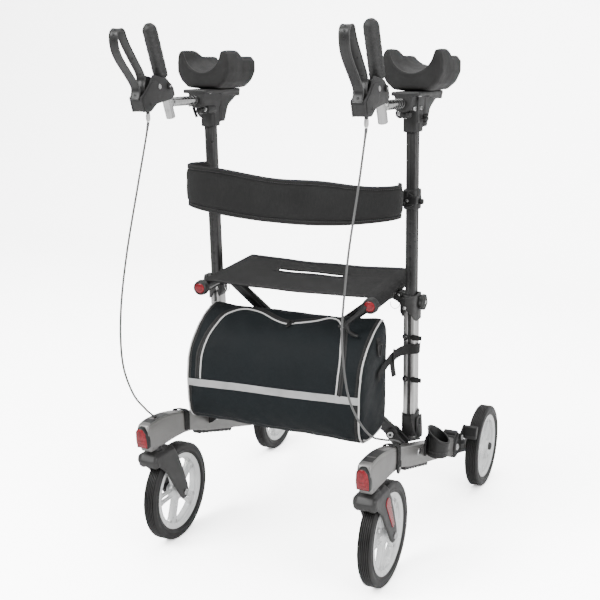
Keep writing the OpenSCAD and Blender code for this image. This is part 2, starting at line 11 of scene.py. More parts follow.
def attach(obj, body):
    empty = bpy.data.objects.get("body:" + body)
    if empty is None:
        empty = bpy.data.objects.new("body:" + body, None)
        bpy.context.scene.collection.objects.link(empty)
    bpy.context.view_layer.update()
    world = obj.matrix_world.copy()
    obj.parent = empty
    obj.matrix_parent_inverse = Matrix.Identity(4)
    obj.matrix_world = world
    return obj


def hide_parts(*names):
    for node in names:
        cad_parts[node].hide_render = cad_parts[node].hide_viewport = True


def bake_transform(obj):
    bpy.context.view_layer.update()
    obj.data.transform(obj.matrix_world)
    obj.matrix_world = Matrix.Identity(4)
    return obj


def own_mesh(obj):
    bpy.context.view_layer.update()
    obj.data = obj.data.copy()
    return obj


# Folding upright walker with forearm rests. Shapes are in millimetres, and make() turns them into metres.
# Front is -Y, up is +Z. Side pieces are drawn for +X and mirrored for the left.
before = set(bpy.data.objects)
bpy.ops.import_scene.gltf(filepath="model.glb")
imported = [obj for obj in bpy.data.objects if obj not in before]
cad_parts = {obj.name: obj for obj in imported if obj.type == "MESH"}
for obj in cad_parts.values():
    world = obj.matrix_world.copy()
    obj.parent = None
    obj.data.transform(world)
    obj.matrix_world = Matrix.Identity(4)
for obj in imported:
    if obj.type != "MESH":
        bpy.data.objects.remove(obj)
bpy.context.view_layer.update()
MM = 0.001
CAMERA_PLACE = (0.9028, -1.9788, 1.0384)
CAMERA_LENS = 60.24
HEADING, TILT, ROLL = 25.72, 76.48, -0.21       # camera angles in degrees
GROUND_SEEN = 6.5                               # how bright the camera sees the floor
FRONT_HUB, REAR_HUB = (246, -233, 108), (290, 335, 100)
BAR_FOOT_X, HINGE_Z, SEAT_AT_BRACE, CROSS_Z = 205, 262, 571.74, 421.1
STAY_BOLT = (196, 141)                          # y, z
BRAKE_PIVOT = (214, 160)                        # y, z
LEVER_PIN = (-318, 953)                         # y, z
CABLE_Y = -309.5


# ---------- camera and stage ----------

def set_camera():
    data = bpy.data.cameras.new("camera")
    data.lens, data.sensor_width, data.clip_end = CAMERA_LENS, 36, 50
    cam = bpy.data.objects.new("camera", data)
    turn = Matrix.Rotation(radians(HEADING), 4, "Z") @ Matrix.Rotation(radians(TILT), 4, "X")
    cam.matrix_world = Matrix.Translation(CAMERA_PLACE) @ turn @ Matrix.Rotation(radians(ROLL), 4, "Z")
    bpy.context.scene.collection.objects.link(cam)
    bpy.context.scene.camera = cam


def add_light(name, place, target, size, watts):
    data = bpy.data.lights.new(name, "AREA")
    data.shape, data.size, data.size_y, data.energy = "RECTANGLE", size[0], size[1], watts
    light = bpy.data.objects.new(name, data)
    light.location = place
    light.rotation_euler = (Vector(target) - Vector(place)).to_track_quat("-Z", "Y").to_euler()
    bpy.context.scene.collection.objects.link(light)


def set_sky():
    """White sky, dimmer towards the horizon, so that dark tubes keep dark sides."""
    world = bpy.data.worlds.new("studio")
    world.use_nodes = True
    sky = world.node_tree
    back = sky.nodes["Background"]
    back.inputs["Color"].default_value = (1, 1, 1, 1)
    direction = sky.nodes.new("ShaderNodeSeparateXYZ")
    height = sky.nodes.new("ShaderNodeMapRange")
    height.interpolation_type = "SMOOTHSTEP"
    for socket, value in zip(("From Min", "From Max", "To Min", "To Max"), (0.0, 0.75, 0.32, 1.0)):
        height.inputs[socket].default_value = value
    sky.links.new(sky.nodes.new("ShaderNodeTexCoord").outputs["Generated"], direction.inputs[0])
    sky.links.new(direction.outputs["Z"], height.inputs["Value"])
    sky.links.new(height.outputs["Result"], back.inputs["Strength"])
    bpy.context.scene.world = world


set_camera()
add_light("key", (-1.6, -2.6, 3.0), (0, 0, 0.4), (1.8, 1.8), 95)
add_light("fill", (3.0, -1.4, 1.6), (0, 0, 0.6), (2.0, 2.2), 60)
add_light("top", (0.2, 0.8, 3.6), (0, 0, 0.4), (2.6, 2.6), 36)
set_sky()


# ---------- outlines ----------

def turned(axis, degrees):
    return Matrix.Rotation(radians(degrees), 4, axis)


def move(x, y, z):
    return Matrix.Translation((x, y, z))


def facing(axis, p):
    """Frame at p whose Z runs along an axis: x, y, z, or -x, -y, -z."""
    turn = {"x": turned("Y", 90), "-x": turned("Y", -90), "y": turned("X", -90), "-y": turned("X", 90),
            "z": Matrix.Identity(4), "-z": turned("X", 180)}[axis]
    return move(*p) @ turn


POST = move(232, -42, 297) @ turned("X", 2.4)
HANDLE = move(230, -227.5, 922.8) @ turned("X", 21)
SEAT_R = move(194, -186, 564) @ turned("X", 4.3)


def bell(v, centre, width):
    return math.exp(-((v - centre) / width) ** 2)


def spline(p, n, closed=False):
    """Catmull-Rom curve through the points, n steps between neighbours."""
    p = [Vector(q) for q in p]
    k = len(p)
    out = []
    for i in range(k if closed else k - 1):
        a, b, c, d = ((p[(i + j) % k] if closed else p[min(max(i + j, 0), k - 1)]) for j in (-1, 0, 1, 2))
        for s in range(n):
            t = s / n
            out.append(0.5 * (2 * b + (c - a) * t + (2 * a - 5 * b + 4 * c - d) * t * t
                              + (3 * b - a - 3 * c + d) * t ** 3))
    return out if closed else out + [p[-1]]


def fillet(poly, r, n=4):
    """Rounds the corners of a polygon; a point may carry its own radius as a third number."""
    out = []
    for i, p in enumerate(poly):
        a, b, c = Vector(poly[i - 1][:2]), Vector(p[:2]), Vector(poly[(i + 1) % len(poly)][:2])
        rr = p[2] if len(p) > 2 else r
        u, w = a - b, c - b
        lu, lw = u.length, w.length
        u, w = u / lu, w / lw
        angle = math.acos(max(-1, min(1, u.dot(w))))
        if rr <= 0 or angle > 3.05:
            out.append(tuple(b))
            continue
        cut = min(rr / math.tan(angle / 2), lu * 0.48, lw * 0.48)
        for k in range(n + 1):
            t = k / n
            out.append(tuple((b + u * cut) * (1 - t) ** 2 + b * 2 * t * (1 - t) + (b + w * cut) * t * t))
    return out


def circle(x, y, r, n=24, start=0.0):
    return [(x + r * cos(start + 2 * pi * i / n), y + r * sin(start + 2 * pi * i / n)) for i in range(n)]


def slot_hole(x, y, length, r, angle=0.0, n=6):
    """Round-ended slot."""
    pts = []
    for s in (1, -1):
        for k in range(n + 1):
            a = -pi / 2 + pi * k / n + (0 if s > 0 else pi)
            pts.append((s * (length / 2 - r) + r * cos(a), r * sin(a)))
    c, d = cos(angle), sin(angle)
    return [(x + c * px - d * py, y + d * px + c * py) for px, py in pts]


def hull(points):
    """Convex outline round the points."""
    pts = sorted(set((round(p[0], 4), round(p[1], 4)) for p in points))
    halves = []
    for order in (pts, pts[::-1]):
        h = []
        for p in order:
            while len(h) > 1 and ((h[-1][0] - h[-2][0]) * (p[1] - h[-2][1])
                                  - (h[-1][1] - h[-2][1]) * (p[0] - h[-2][0])) <= 0:
                h.pop()
            h.append(p)
        halves.append(h[:-1])
    return halves[0] + halves[1]


def super_rect(w, d, r, n=10):
    """Rectangle with round corners, the same number of points for any size."""
    out = []
    for q, (sx, sy) in enumerate(((1, 1), (-1, 1), (-1, -1), (1, -1))):
        for k in range(n):
            a = q * pi / 2 + (pi / 2) * k / (n - 1)
            out.append((sx * (w / 2 - r) + r * cos(a), sy * (d / 2 - r) + r * sin(a)))
    return out


def signed_area(loop):
    return sum(loop[i - 1][0] * p[1] - p[0] * loop[i - 1][1] for i, p in enumerate(loop)) / 2


def inset(loop, d):
    """Moves an outline to its left by d: inwards where it runs anticlockwise."""
    out = []
    for i in range(len(loop)):
        a, b, c = Vector(loop[i - 1][:2]), Vector(loop[i][:2]), Vector(loop[(i + 1) % len(loop)][:2])
        u, w = (b - a).normalized(), (c - b).normalized()
        n1, n2 = Vector((-u.y, u.x)), Vector((-w.y, w.x))
        m = n1 + n2
        m = n1 if m.length < 1e-6 else m.normalized()
        out.append(tuple(b + m * d / max(0.55, m.dot(n1))))
    return out


# ---------- mesh kit ----------

def thirds(p):
    return tuple(p) if len(p) == 3 else (p[0], p[1], 0)


class Shell:
    """Collects vertices in millimetres, faces and material numbers."""

    def __init__(self):
        self.v, self.f, self.m = [], [], []

    def add(self, v, f, mat=0, at=None):
        n = len(self.v)
        self.v += [tuple(at @ Vector(p)) if at is not None else tuple(p) for p in v]
        self.f += [tuple(i + n for i in q) for q in f]
        self.m += [mat] * len(f)
        return self

    def loft(self, rings, mat=0, at=None, loop=True, cap=True, wrap=False):
        n, k = len(rings[0]), len(rings)
        f = []
        for i in range(k if wrap else k - 1):
            for j in range(n if loop else n - 1):
                m, o = (j + 1) % n, (i + 1) % k
                f.append((i * n + j, i * n + m, o * n + m, o * n + j))
        if cap and loop and not wrap:
            f += [tuple(range(n - 1, -1, -1)), tuple(range((k - 1) * n, k * n))]
        return self.add([thirds(p) for r in rings for p in r], f, mat, at)

    def lathe(self, profile, at=None, mat=0, seg=48, closed=False, wave=None):
        """Turns (radius, height) points round Z; wave(angle) scales the radius."""
        rings = []
        for i in range(seg):
            a = 2 * pi * i / seg
            g = wave(a) if wave else 1
            rings.append([(r * g * cos(a), r * g * sin(a), h) for r, h in profile])
        return self.loft(rings, mat, at, loop=closed, cap=False, wrap=True)

    def rod(self, r, h, at=None, mat=0, edge=0.8, seg=32, wave=None, dome=0.0):
        e = min(edge, r * 0.45, h * 0.45)
        arc = [(r - e + e * sin(t), h - e + e * cos(t)) for t in (0, pi / 6, pi / 3, pi / 2)]
        top = [(0.001, h + dome)] + ([((r - e) * 0.5, h + dome * 0.75)] if dome else []) + arc
        low = [(q, h - z) for q, z in arc[::-1]] + [(0.001, 0)]
        return self.lathe(top + low, at, mat, seg, wave=wave)

    def tube(self, path, r, mat=0, sides=12, at=None, cap=True):
        """Round tube along 3-D points; r is a number or one per point."""
        p = [Vector(q) for q in path]
        n = len(p)
        tangents = [(p[min(i + 1, n - 1)] - p[max(i - 1, 0)]).normalized() for i in range(n)]
        side = tangents[0].orthogonal().normalized()
        angles = [2 * pi * k / sides for k in range(sides)]
        rings = []
        for i, t in enumerate(tangents):
            side = (side - t * side.dot(t)).normalized()
            up = t.cross(side)
            q = r[i] if isinstance(r, (list, tuple)) else r
            rings.append([p[i] + q * (side * cos(a) + up * sin(a)) for a in angles])
        return self.loft(rings, mat, at, cap=cap)

    def ribbon(self, path, across, section, mat=0, at=None, closed=False):
        """Sweeps a section of (width, thickness) points along a path; its width runs along across."""
        p = [Vector(q) for q in path]
        n = len(p)
        across = Vector(across).normalized()
        rings = []
        for i in range(n):
            a, b = (p[(i + 1) % n], p[i - 1]) if closed else (p[min(i + 1, n - 1)], p[max(i - 1, 0)])
            t = (a - b).normalized()
            out = t.cross(across).normalized()
            rings.append([p[i] + across * w + out * h for w, h in section])
        return self.loft(rings, mat, at, wrap=closed)

    def plate(self, outline, a, b, axis="x", holes=(), mat=0, at=None, edge=0.8, steps=3):
        """Solid between two planes with rounded edges.

        Outlines are (y, z) across axis x, (x, z) across y, and (x, y) across z.
        """
        loops = [list(outline)] + [list(h) for h in holes]
        for i, q in enumerate(loops):
            if (signed_area(q) > 0) != (i == 0):
                loops[i] = q[::-1]
        e = min(edge, (b - a) * 0.45)
        levels = [(e * (1 - sin(t)), e * (1 - cos(t))) for t in np.linspace(0, pi / 2,
                steps + 1)] if e > 0 else [(0, 0)]
        stack = [(d, a + h) for d, h in levels] + [(d, b - h) for d, h in levels[::-1]]
        place = {"x": lambda u, w, h: (h, u, w), "y": lambda u, w, h: (u, h, w), "z": lambda u, w,
                h: (u, w, h)}[axis]
        v, f, starts = [], [], []
        for q in loops:
            n = len(q)
            base = len(v)
            starts.append(base)
            for d, h in stack:
                v += [place(u, w, h) for u, w in (inset(q, d) if d > 0 else [c[:2] for c in q])]
            for i in range(len(stack) - 1):
                for j in range(n):
                    m = (j + 1) % n
                    f.append((base + i * n + j, base + i * n + m, base + (i + 1) * n + m,
                            base + (i + 1) * n + j))
        flat = [inset(q, e) if e > 0 else [c[:2] for c in q] for q in loops]
        which = [(k, j) for k, q in enumerate(loops) for j in range(len(q))]
        for t in tessellate_polygon([[Vector((u, w, 0)) for u, w in q] for q in flat]):
            f.append(tuple(starts[k] + j for k, j in (which[i] for i in t)))
            f.append(tuple(starts[k] + (len(stack) - 1) * len(loops[k]) + j for k,
                    j in (which[i] for i in t[::-1])))
        return self.add(v, f, mat, at)

    def sleeve(self, outer, inner, lo, hi, mat=0, at=None, edge=1.0):
        """Tube of rounded-rectangle section (w, d, r) whose ends are heights or functions of x and y."""
        top = hi if callable(hi) else lambda x, y: hi
        low = lo if callable(lo) else lambda x, y: lo
        out, core = super_rect(*outer), super_rect(*inner)

        def less(e):
            return super_rect(outer[0] - 2 * e, outer[1] - 2 * e, max(outer[2] - e, 0.5))

        shrunk = less(edge)
        rings = [[(x, y, low(x, y)) for x, y in core], [(x, y, low(x, y)) for x, y in shrunk],
                 [(x, y, low(x, y) + edge) for x, y in out], [(x, y, top(x, y) - edge) for x, y in out],
                 [(x, y, top(x, y) - edge * 0.3) for x, y in less(0.3 * edge)],
                 [(x, y, top(x, y)) for x, y in shrunk], [(x, y, top(x, y)) for x, y in core]]
        return self.loft(rings, mat, at, cap=False, wrap=True)

    def dome(self, outline, height, mat=0, at=None, steps=6, foot=1.0):
        """Convex lens or button over an outline in x and y."""
        cx = sum(p[0] for p in outline) / len(outline)
        cy = sum(p[1] for p in outline) / len(outline)
        rings = [[(x, y, 0) for x, y in outline]]
        for i in range(steps + 1):
            t = pi / 2 * i / steps
            s = max(cos(t), 0.02)
            rings.append([(cx + (x - cx) * s, cy + (y - cy) * s, foot + height * sin(t)) for x,
                    y in outline])
        return self.loft(rings, mat, at)


def make(name, shell, mats, body=None, side=1, replaces=(), voxel=0, melt=0, crisp=34):
    """Mesh object from a shell. voxel and melt fuse the shell into one moulding with soft corners."""
    v = [(x * MM * side, y * MM, z * MM) for x, y, z in shell.v]
    f = [q if side > 0 else q[::-1] for q in shell.f]
    mesh = bpy.data.meshes.new(name)
    mesh.from_pydata(v, [], f)
    mesh.update()
    mesh.polygons.foreach_set("material_index", shell.m)
    for m in mats if isinstance(mats, (list, tuple)) else [mats]:
        mesh.materials.append(m)
    tidy_mesh(mesh)
    obj = bpy.data.objects.new(name, mesh)
    bpy.context.scene.collection.objects.link(obj)
    if voxel:
        remesh = obj.modifiers.new("remesh", "REMESH")
        remesh.mode, remesh.voxel_size, remesh.use_smooth_shade = "VOXEL", voxel * MM, True
        soft = obj.modifiers.new("soft", "SMOOTH")
        soft.factor, soft.iterations = 0.5, melt
        apply_modifiers(obj)
    obj.data.shade_smooth()
    if not voxel:
        obj.data.set_sharp_from_angle(angle=radians(crisp))
    if body:
        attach(obj, body)
    if replaces:
        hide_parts(*replaces)
    return obj


def tidy_mesh(mesh):
    """Welds doubled points and turns the faces outwards."""
    bm = bmesh.new()
    bm.from_mesh(mesh)
    bmesh.ops.remove_doubles(bm, verts=bm.verts, dist=4e-6)
    bmesh.ops.dissolve_degenerate(bm, edges=bm.edges, dist=1e-7)
    bmesh.ops.recalc_face_normals(bm, faces=bm.faces)
    bm.to_mesh(mesh)
    bm.free()


def apply_modifiers(obj):
    done = bpy.data.meshes.new_from_object(obj.evaluated_get(bpy.context.evaluated_depsgraph_get()))
    old = obj.data
    mats = list(old.materials)
    obj.modifiers.clear()
    obj.data = done
    done.materials.clear()
    for m in mats:
        done.materials.append(m)
    bpy.data.meshes.remove(old)


# ---------- materials ----------

class Paint:
    """A node material: paint(...) builds a colour, roughness and bump that vary over the surface."""

    def __init__(self, name):
        self.mat = bpy.data.materials.new(name)
        self.mat.use_nodes = True
        self.tree = self.mat.node_tree
        self.shader = self.tree.nodes["Principled BSDF"]
        self.coords = self.tree.nodes.new("ShaderNodeTexCoord").outputs["Object"]

    def node(self, kind, inputs=None, **attrs):
        n = self.tree.nodes.new("ShaderNode" + kind)
        for k, v in attrs.items():
            setattr(n, k, v)
        for k, v in (inputs or {}).items():
            self.put(n.inputs[k], v)
        return n

    def put(self, socket, v):
        if isinstance(v, bpy.types.NodeSocket):
            self.tree.links.new(v, socket)
        else:
            socket.default_value = v

    def set(self, **sockets):
        for k, v in sockets.items():
            self.put(self.shader.inputs[k.replace("_", " ")], v)

    def scaled(self, x, y, z):
        return self.node("Mapping", {"Vector": self.coords, "Scale": (x, y, z)}).outputs[0]

    def noise(self, scale, detail=3, rough=0.55, vector=None):
        return self.node("TexNoise", {"Vector": vector or self.coords, "Scale": scale, "Detail": detail,
                                      "Roughness": rough}).outputs["Fac"]

    def cells(self, scale, feature="F1", vector=None, jitter=1.0):
        n = self.node("TexVoronoi", {"Vector": vector or self.coords, "Scale": scale, "Randomness": jitter},
                feature=feature)
        return n.outputs["Distance"]

    def math(self, op, a, b=0.0, c=None):
        n = self.node("Math", {0: a, 1: b}, operation=op)
        if c is not None:
            self.put(n.inputs[2], c)
        return n.outputs[0]

    def range(self, fac, lo, hi, frm=0.0, to=1.0):
        return self.node("MapRange", {"Value": fac, "From Min": frm, "From Max": to, "To Min": lo,
                "To Max": hi}).outputs[0]

    def mix(self, fac, a, b, blend="MIX"):
        n = self.node("Mix", {0: fac}, data_type="RGBA", blend_type=blend)
        self.put(n.inputs[6], a)
        self.put(n.inputs[7], b)
        return n.outputs[2]

    def bump(self, height, strength, distance, normal=None):
        n = self.node("Bump", {"Height": height, "Strength": strength, "Distance": distance})
        if normal is not None:
            self.put(n.inputs["Normal"], normal)
        return n.outputs[0]

    def worn(self, colour, light, lo=0.53, hi=0.62, amount=0.6):
        """Lightens the outer edges."""
        edge = self.range(self.node("NewGeometry").outputs["Pointiness"], 0.0, amount, lo, hi)
        grit = self.range(self.noise(160), 0.25, 1.0, 0.35, 0.6)
        return self.mix(self.math("MULTIPLY", edge, grit), colour, light)


def grey(v, warm=0.0):
    return (v * (1 + warm), v, v * (1 - warm), 1)


def plain(name, colour, rough, metal=0.0, vary=0.18, grain=900, grain_bump=0.12, depth=0.0002, spread=0.08,
        wear=None, **more):
    """Finish with a mottled colour, uneven gloss and a fine grain."""
    p = Paint(name)
    patch = p.noise(9, 4)
    lo = tuple(c * (1 - vary) for c in colour[:3]) + (1,)
    hi = tuple(min(1, c * (1 + vary)) for c in colour[:3]) + (1,)
    tone = p.mix(p.range(patch, 0, 1, 0.35, 0.65), lo, hi)
    if wear:
        tone = p.worn(tone, wear)
    p.set(Base_Color=tone, Metallic=metal, Roughness=p.range(p.noise(30, 5), rough - spread, rough + spread,
            0.3, 0.7))
    p.set(Normal=p.bump(p.noise(grain, 2), grain_bump, depth))
    p.set(**more)
    return p.mat


def weave_height(p, size):
    """Plain weave on whichever plane the surface faces, thread pitch size in metres."""
    normal = p.node("SeparateXYZ", {0: p.node("NewGeometry").outputs["Normal"]})
    at = p.node("SeparateXYZ", {0: p.coords})
    k = 2 * pi / size

    def threads(u, w):
        a = p.math("SINE", p.math("MULTIPLY", u, k))
        b = p.math("SINE", p.math("MULTIPLY", w, k))
        over = p.math("GREATER_THAN", p.math("MULTIPLY", p.math("SINE", p.math("MULTIPLY", u, k / 2)),
                                             p.math("SINE", p.math("MULTIPLY", w, k / 2))), 0.0)
        return p.math("ADD", p.math("MULTIPLY", p.math("ABSOLUTE", a), over),
                      p.math("MULTIPLY", p.math("ABSOLUTE", b), p.math("SUBTRACT", 1.0, over)))

    xs, ys, zs = at.outputs
    flat, front, end = threads(xs, ys), threads(xs, zs), threads(ys, zs)
    wx, wy, wz = (p.math("POWER", p.math("ABSOLUTE", o), 4.0) for o in normal.outputs)
    total = p.math("ADD", p.math("ADD", wx, wy), wz)
    both = p.math("ADD", p.math("ADD", p.math("MULTIPLY", end, wx), p.math("MULTIPLY", front, wy)),
            p.math("MULTIPLY", flat, wz))
    return p.math("DIVIDE", both, total)


def cloth(name, dark, light, size, rough=0.8, bump=0.5, sheen=0.25, crease=0.0):
    """Woven cloth: threads, slubs and larger worn patches."""
    p = Paint(name)
    w = weave_height(p, size)
    patch = p.noise(14, 4)
    slub = p.noise(420, 2, vector=p.scaled(1, 1, 0.25))
    shade = p.math("MULTIPLY", p.math("ADD", w, p.math("MULTIPLY", slub, 0.6)),
            p.range(patch, 0.7, 1.05, 0.3, 0.7))
    p.set(Base_Color=p.mix(p.range(shade, 0, 1, 0.2, 1.3), dark, light),
            Roughness=p.range(patch, rough - 0.08, rough + 0.06, 0.3, 0.7))
    p.set(Sheen_Weight=sheen, Sheen_Roughness=0.45, Specular_IOR_Level=0.2)
    normal = p.bump(w, bump, size * 0.25)
    if crease:
        normal = p.bump(p.noise(26, 5, 0.6, vector=p.scaled(1, 1, 1.4)), crease, 0.004, normal)
    p.set(Normal=normal)
    return p.mat


def make_rail_grey():
    p = Paint("rail_grey")
    flake = p.noise(2600, 1)
    tone = p.mix(p.range(flake, 0, 1, 0.35, 0.7), grey(0.21, 0.02), grey(0.33, 0.02))
    tone = p.mix(p.range(p.noise(7, 3), 0, 0.35, 0.4, 0.65), tone, grey(0.20, 0.02))
    p.set(Base_Color=p.worn(tone, grey(0.5), amount=0.5), Metallic=0.75)
    p.set(Roughness=p.range(p.noise(45, 4), 0.33, 0.47, 0.3, 0.7), Normal=p.bump(flake, 0.08, 0.0001),
            Coat_Weight=0.25, Coat_Roughness=0.25)
    return p.mat


def make_silver():
    p = Paint("silver_tube")
    streak = p.noise(700, 4, 0.6, vector=p.scaled(1, 1, 0.012))
    tone = p.mix(p.range(streak, 0, 1, 0.3, 0.7), grey(0.58, 0.01), grey(0.76, 0.01))
    p.set(Base_Color=tone, Metallic=0.9, Roughness=p.range(streak, 0.28, 0.42, 0.3, 0.7),
            Normal=p.bump(streak, 0.06, 0.0001))
    return p.mat


def make_chrome():
    p = Paint("chrome")
    smear = p.noise(18, 5, 0.6)
    tone = p.mix(p.range(p.noise(70, 6), 0, 1, 0.55, 0.72), grey(0.52), grey(0.36))
    p.set(Base_Color=tone, Metallic=1.0, Roughness=p.range(smear, 0.06, 0.17, 0.35, 0.7),
            Normal=p.bump(p.noise(500, 2), 0.02, 0.0001))
    return p.mat


def make_lens():
    p = Paint("reflector")
    prism = p.cells(620, "F1", jitter=0.15)
    glow = p.range(prism, 1.0, 0.0, 0.0, 0.75)
    tone = p.mix(glow, (0.10, 0.0008, 0.003, 1), (0.46, 0.008, 0.022, 1))
    p.set(Base_Color=p.mix(p.range(p.noise(90, 3), 0, 0.4, 0.5, 0.8), tone, (0.62, 0.06, 0.08, 1)))
    p.set(Roughness=p.range(p.noise(60), 0.12, 0.24, 0.3, 0.7), Normal=p.bump(prism, 0.5, 0.0006),
            Coat_Weight=0.35, Coat_Roughness=0.06)
    p.set(Specular_IOR_Level=0.4)
    return p.mat


def make_tyre():
    p = Paint("tyre")
    dust = p.range(p.noise(24, 6, 0.65), 0, 1, 0.45, 0.75)
    tone = p.mix(dust, grey(0.010), grey(0.024, 0.03))
    p.set(Base_Color=p.worn(tone, grey(0.06, 0.03), amount=0.4), Roughness=p.range(dust, 0.42, 0.66),
            Specular_IOR_Level=0.45)
    p.set(Normal=p.bump(p.noise(1400, 2), 0.18, 0.0003))
    return p.mat


def make_rim():
    p = Paint("rim")
    tone = p.mix(p.range(p.noise(20, 4), 0, 1, 0.35, 0.7), (0.82, 0.83, 0.83, 1), (0.93, 0.94, 0.94, 1))
    # Painted shade: the rim's hollows and inner corners (low pointiness), round the slots, spokes and hub, are
    # darkened towards grey.
    edge = p.range(p.node("NewGeometry").outputs["Pointiness"], 0.0, 0.55, 0.50, 0.42)
    tone = p.mix(edge, tone, (0.30, 0.31, 0.32, 1))
    p.set(Base_Color=tone, Metallic=0.15, Roughness=p.range(p.noise(50, 4), 0.16, 0.30, 0.3, 0.7),
            Coat_Weight=0.6, Coat_Roughness=0.08)
    p.set(Normal=p.bump(p.noise(300, 3), 0.05, 0.0002))
    return p.mat


def make_grip():
    p = Paint("grip")
    grain = p.cells(420, "SMOOTH_F1")
    fine = p.noise(1500, 2)
    tone = p.mix(p.range(grain, 0, 1, 0.1, 0.6), grey(0.014), grey(0.030))
    tone = p.mix(p.range(p.noise(30, 4), 0, 0.5, 0.5, 0.8), tone, grey(0.06))
    p.set(Base_Color=tone, Roughness=p.range(p.noise(40, 4), 0.42, 0.6, 0.3, 0.7), Coat_Weight=0.08,
            Coat_Roughness=0.4)
    p.set(Normal=p.bump(fine, 0.1, 0.0002, p.bump(grain, 0.28, 0.0006)))
    return p.mat


def make_pad():
    p = Paint("pad_grey")
    pores = p.cells(900, "F1")
    tone = p.mix(p.range(p.noise(11, 5, 0.6), 0, 1, 0.35, 0.7), grey(0.014, 0.01), grey(0.028, 0.01))
    tone = p.mix(p.range(p.noise(75, 3), 0, 0.35, 0.55, 0.8), tone, grey(0.045, 0.01))
    p.set(Base_Color=p.worn(tone, grey(0.06), amount=0.35), Roughness=p.range(p.noise(35, 4), 0.50, 0.68,
            0.3, 0.7), Specular_IOR_Level=0.35)
    p.set(Normal=p.bump(pores, 0.22, 0.0004, p.bump(p.noise(40, 3), 0.06, 0.001)))
    return p.mat


def make_zip():
    p = Paint("zip_tape")
    ribs = p.node("TexWave", {"Vector": p.scaled(1, 1, 1), "Scale": 260.0, "Distortion": 0.5},
            wave_type="BANDS", bands_direction="DIAGONAL").outputs["Fac"]
    p.set(Base_Color=p.mix(ribs, grey(0.010), grey(0.035)), Roughness=p.range(p.noise(60), 0.45, 0.65),
            Normal=p.bump(ribs, 0.6, 0.0006))
    return p.mat


def make_reflective():
    p = Paint("reflective_band")
    w = p.cells(700, "F1", jitter=0.3)
    tone = p.mix(p.range(p.noise(16, 5), 0, 1, 0.35, 0.7), grey(0.42), grey(0.62))
    p.set(Base_Color=tone, Metallic=0.35, Roughness=p.range(p.noise(80), 0.4, 0.6, 0.3, 0.7),
            Normal=p.bump(w, 0.2, 0.0003))
    return p.mat


def make_floor():
    p = Paint("floor")
    tone = p.mix(p.range(p.noise(1.5, 4), 0, 1, 0.3, 0.7), grey(0.90), grey(0.93))
    tone = p.mix(p.node("LightPath").outputs["Is Camera Ray"], tone, grey(GROUND_SEEN))
    p.set(Base_Color=tone, Roughness=p.range(p.noise(6), 0.6, 0.7), Specular_IOR_Level=0.2)
    return p.mat


M = {
    "rail_grey": make_rail_grey(), "silver_tube": make_silver(), "chrome": make_chrome(), "reflector": make_lens(),
    "tyre": make_tyre(), "rim": make_rim(), "grip": make_grip(), "pad_grey": make_pad(), "zip": make_zip(),
    "reflective": make_reflective(), "floor": make_floor(),
    "black_tube": plain("black_tube", grey(0.012), 0.34, vary=0.12, grain=1500, grain_bump=0.08,
            wear=grey(0.10), Coat_Weight=0.15, Coat_Roughness=0.3),
    "steel": plain("steel", grey(0.55), 0.27, metal=1.0, vary=0.14, grain=700, grain_bump=0.05, spread=0.1,
            wear=grey(0.8)),
    "dark_steel": plain("dark_steel", grey(0.020), 0.40, vary=0.15, grain=1300, grain_bump=0.16,
            wear=grey(0.16), Coat_Weight=0.1),
    "grey_plastic": plain("grey_plastic", grey(0.030, 0.01), 0.44, vary=0.1, grain=1500, grain_bump=0.14,
            wear=grey(0.14)),
    "black_plastic": plain("black_plastic", grey(0.010), 0.46, vary=0.14, grain=1300, grain_bump=0.16,
            wear=grey(0.07)),
    "cast_grey": plain("cast_grey", grey(0.030), 0.46, metal=0.2, vary=0.12, grain=1700, grain_bump=0.25,
            depth=0.0003, wear=grey(0.14)),
    "cable": plain("cable", grey(0.11), 0.38, vary=0.2, grain=2200, grain_bump=0.1, wear=grey(0.2)),
    "white_plastic": plain("white_plastic", grey(0.72, 0.01), 0.4, vary=0.05, grain=1200, grain_bump=0.06),
    "piping": plain("piping", grey(0.66, 0.01), 0.5, vary=0.08, grain=1800, grain_bump=0.3, spread=0.06),
    "seat_fabric": cloth("seat_fabric", grey(0.006), grey(0.022), 0.0016, rough=0.78, bump=0.6, sheen=0.03),
    "band_fabric": cloth("band_fabric", grey(0.009), grey(0.034), 0.0011, rough=0.86, bump=0.5, sheen=0.06),
    "bag_fabric": cloth("bag_fabric", (0.0035, 0.0048, 0.0058, 1), (0.013, 0.0175, 0.020, 1), 0.0010,
            rough=0.66, bump=0.45, sheen=0.04, crease=0.3),
    "webbing": cloth("webbing", grey(0.010), grey(0.036), 0.0014, rough=0.75, bump=0.8, sheen=0.04),
    "thread": plain("thread", grey(0.10), 0.7, vary=0.1, grain=2500, grain_bump=0.4),
}


def floor():
    """Floor that curves up into a backdrop far behind the object."""
    s = Shell()
    path = [(-4000, 0), (2600, 0)] + [(2600 + 1200 * sin(a), 1200 - 1200 * cos(a)) for a in np.linspace(0.15,
            pi / 2, 9)] + [(3800, 4200)]
    rings = [[(x, y, z - 0.2) for x in np.linspace(-6000, 6000, 7)] for y, z in path]
    s.loft(rings, loop=False, cap=False)
    obj = make("floor", s, M["floor"])
    if obj.data.polygons[0].normal.z < 0:
        obj.data.flip_normals()


floor()


# ---------- wheels ----------

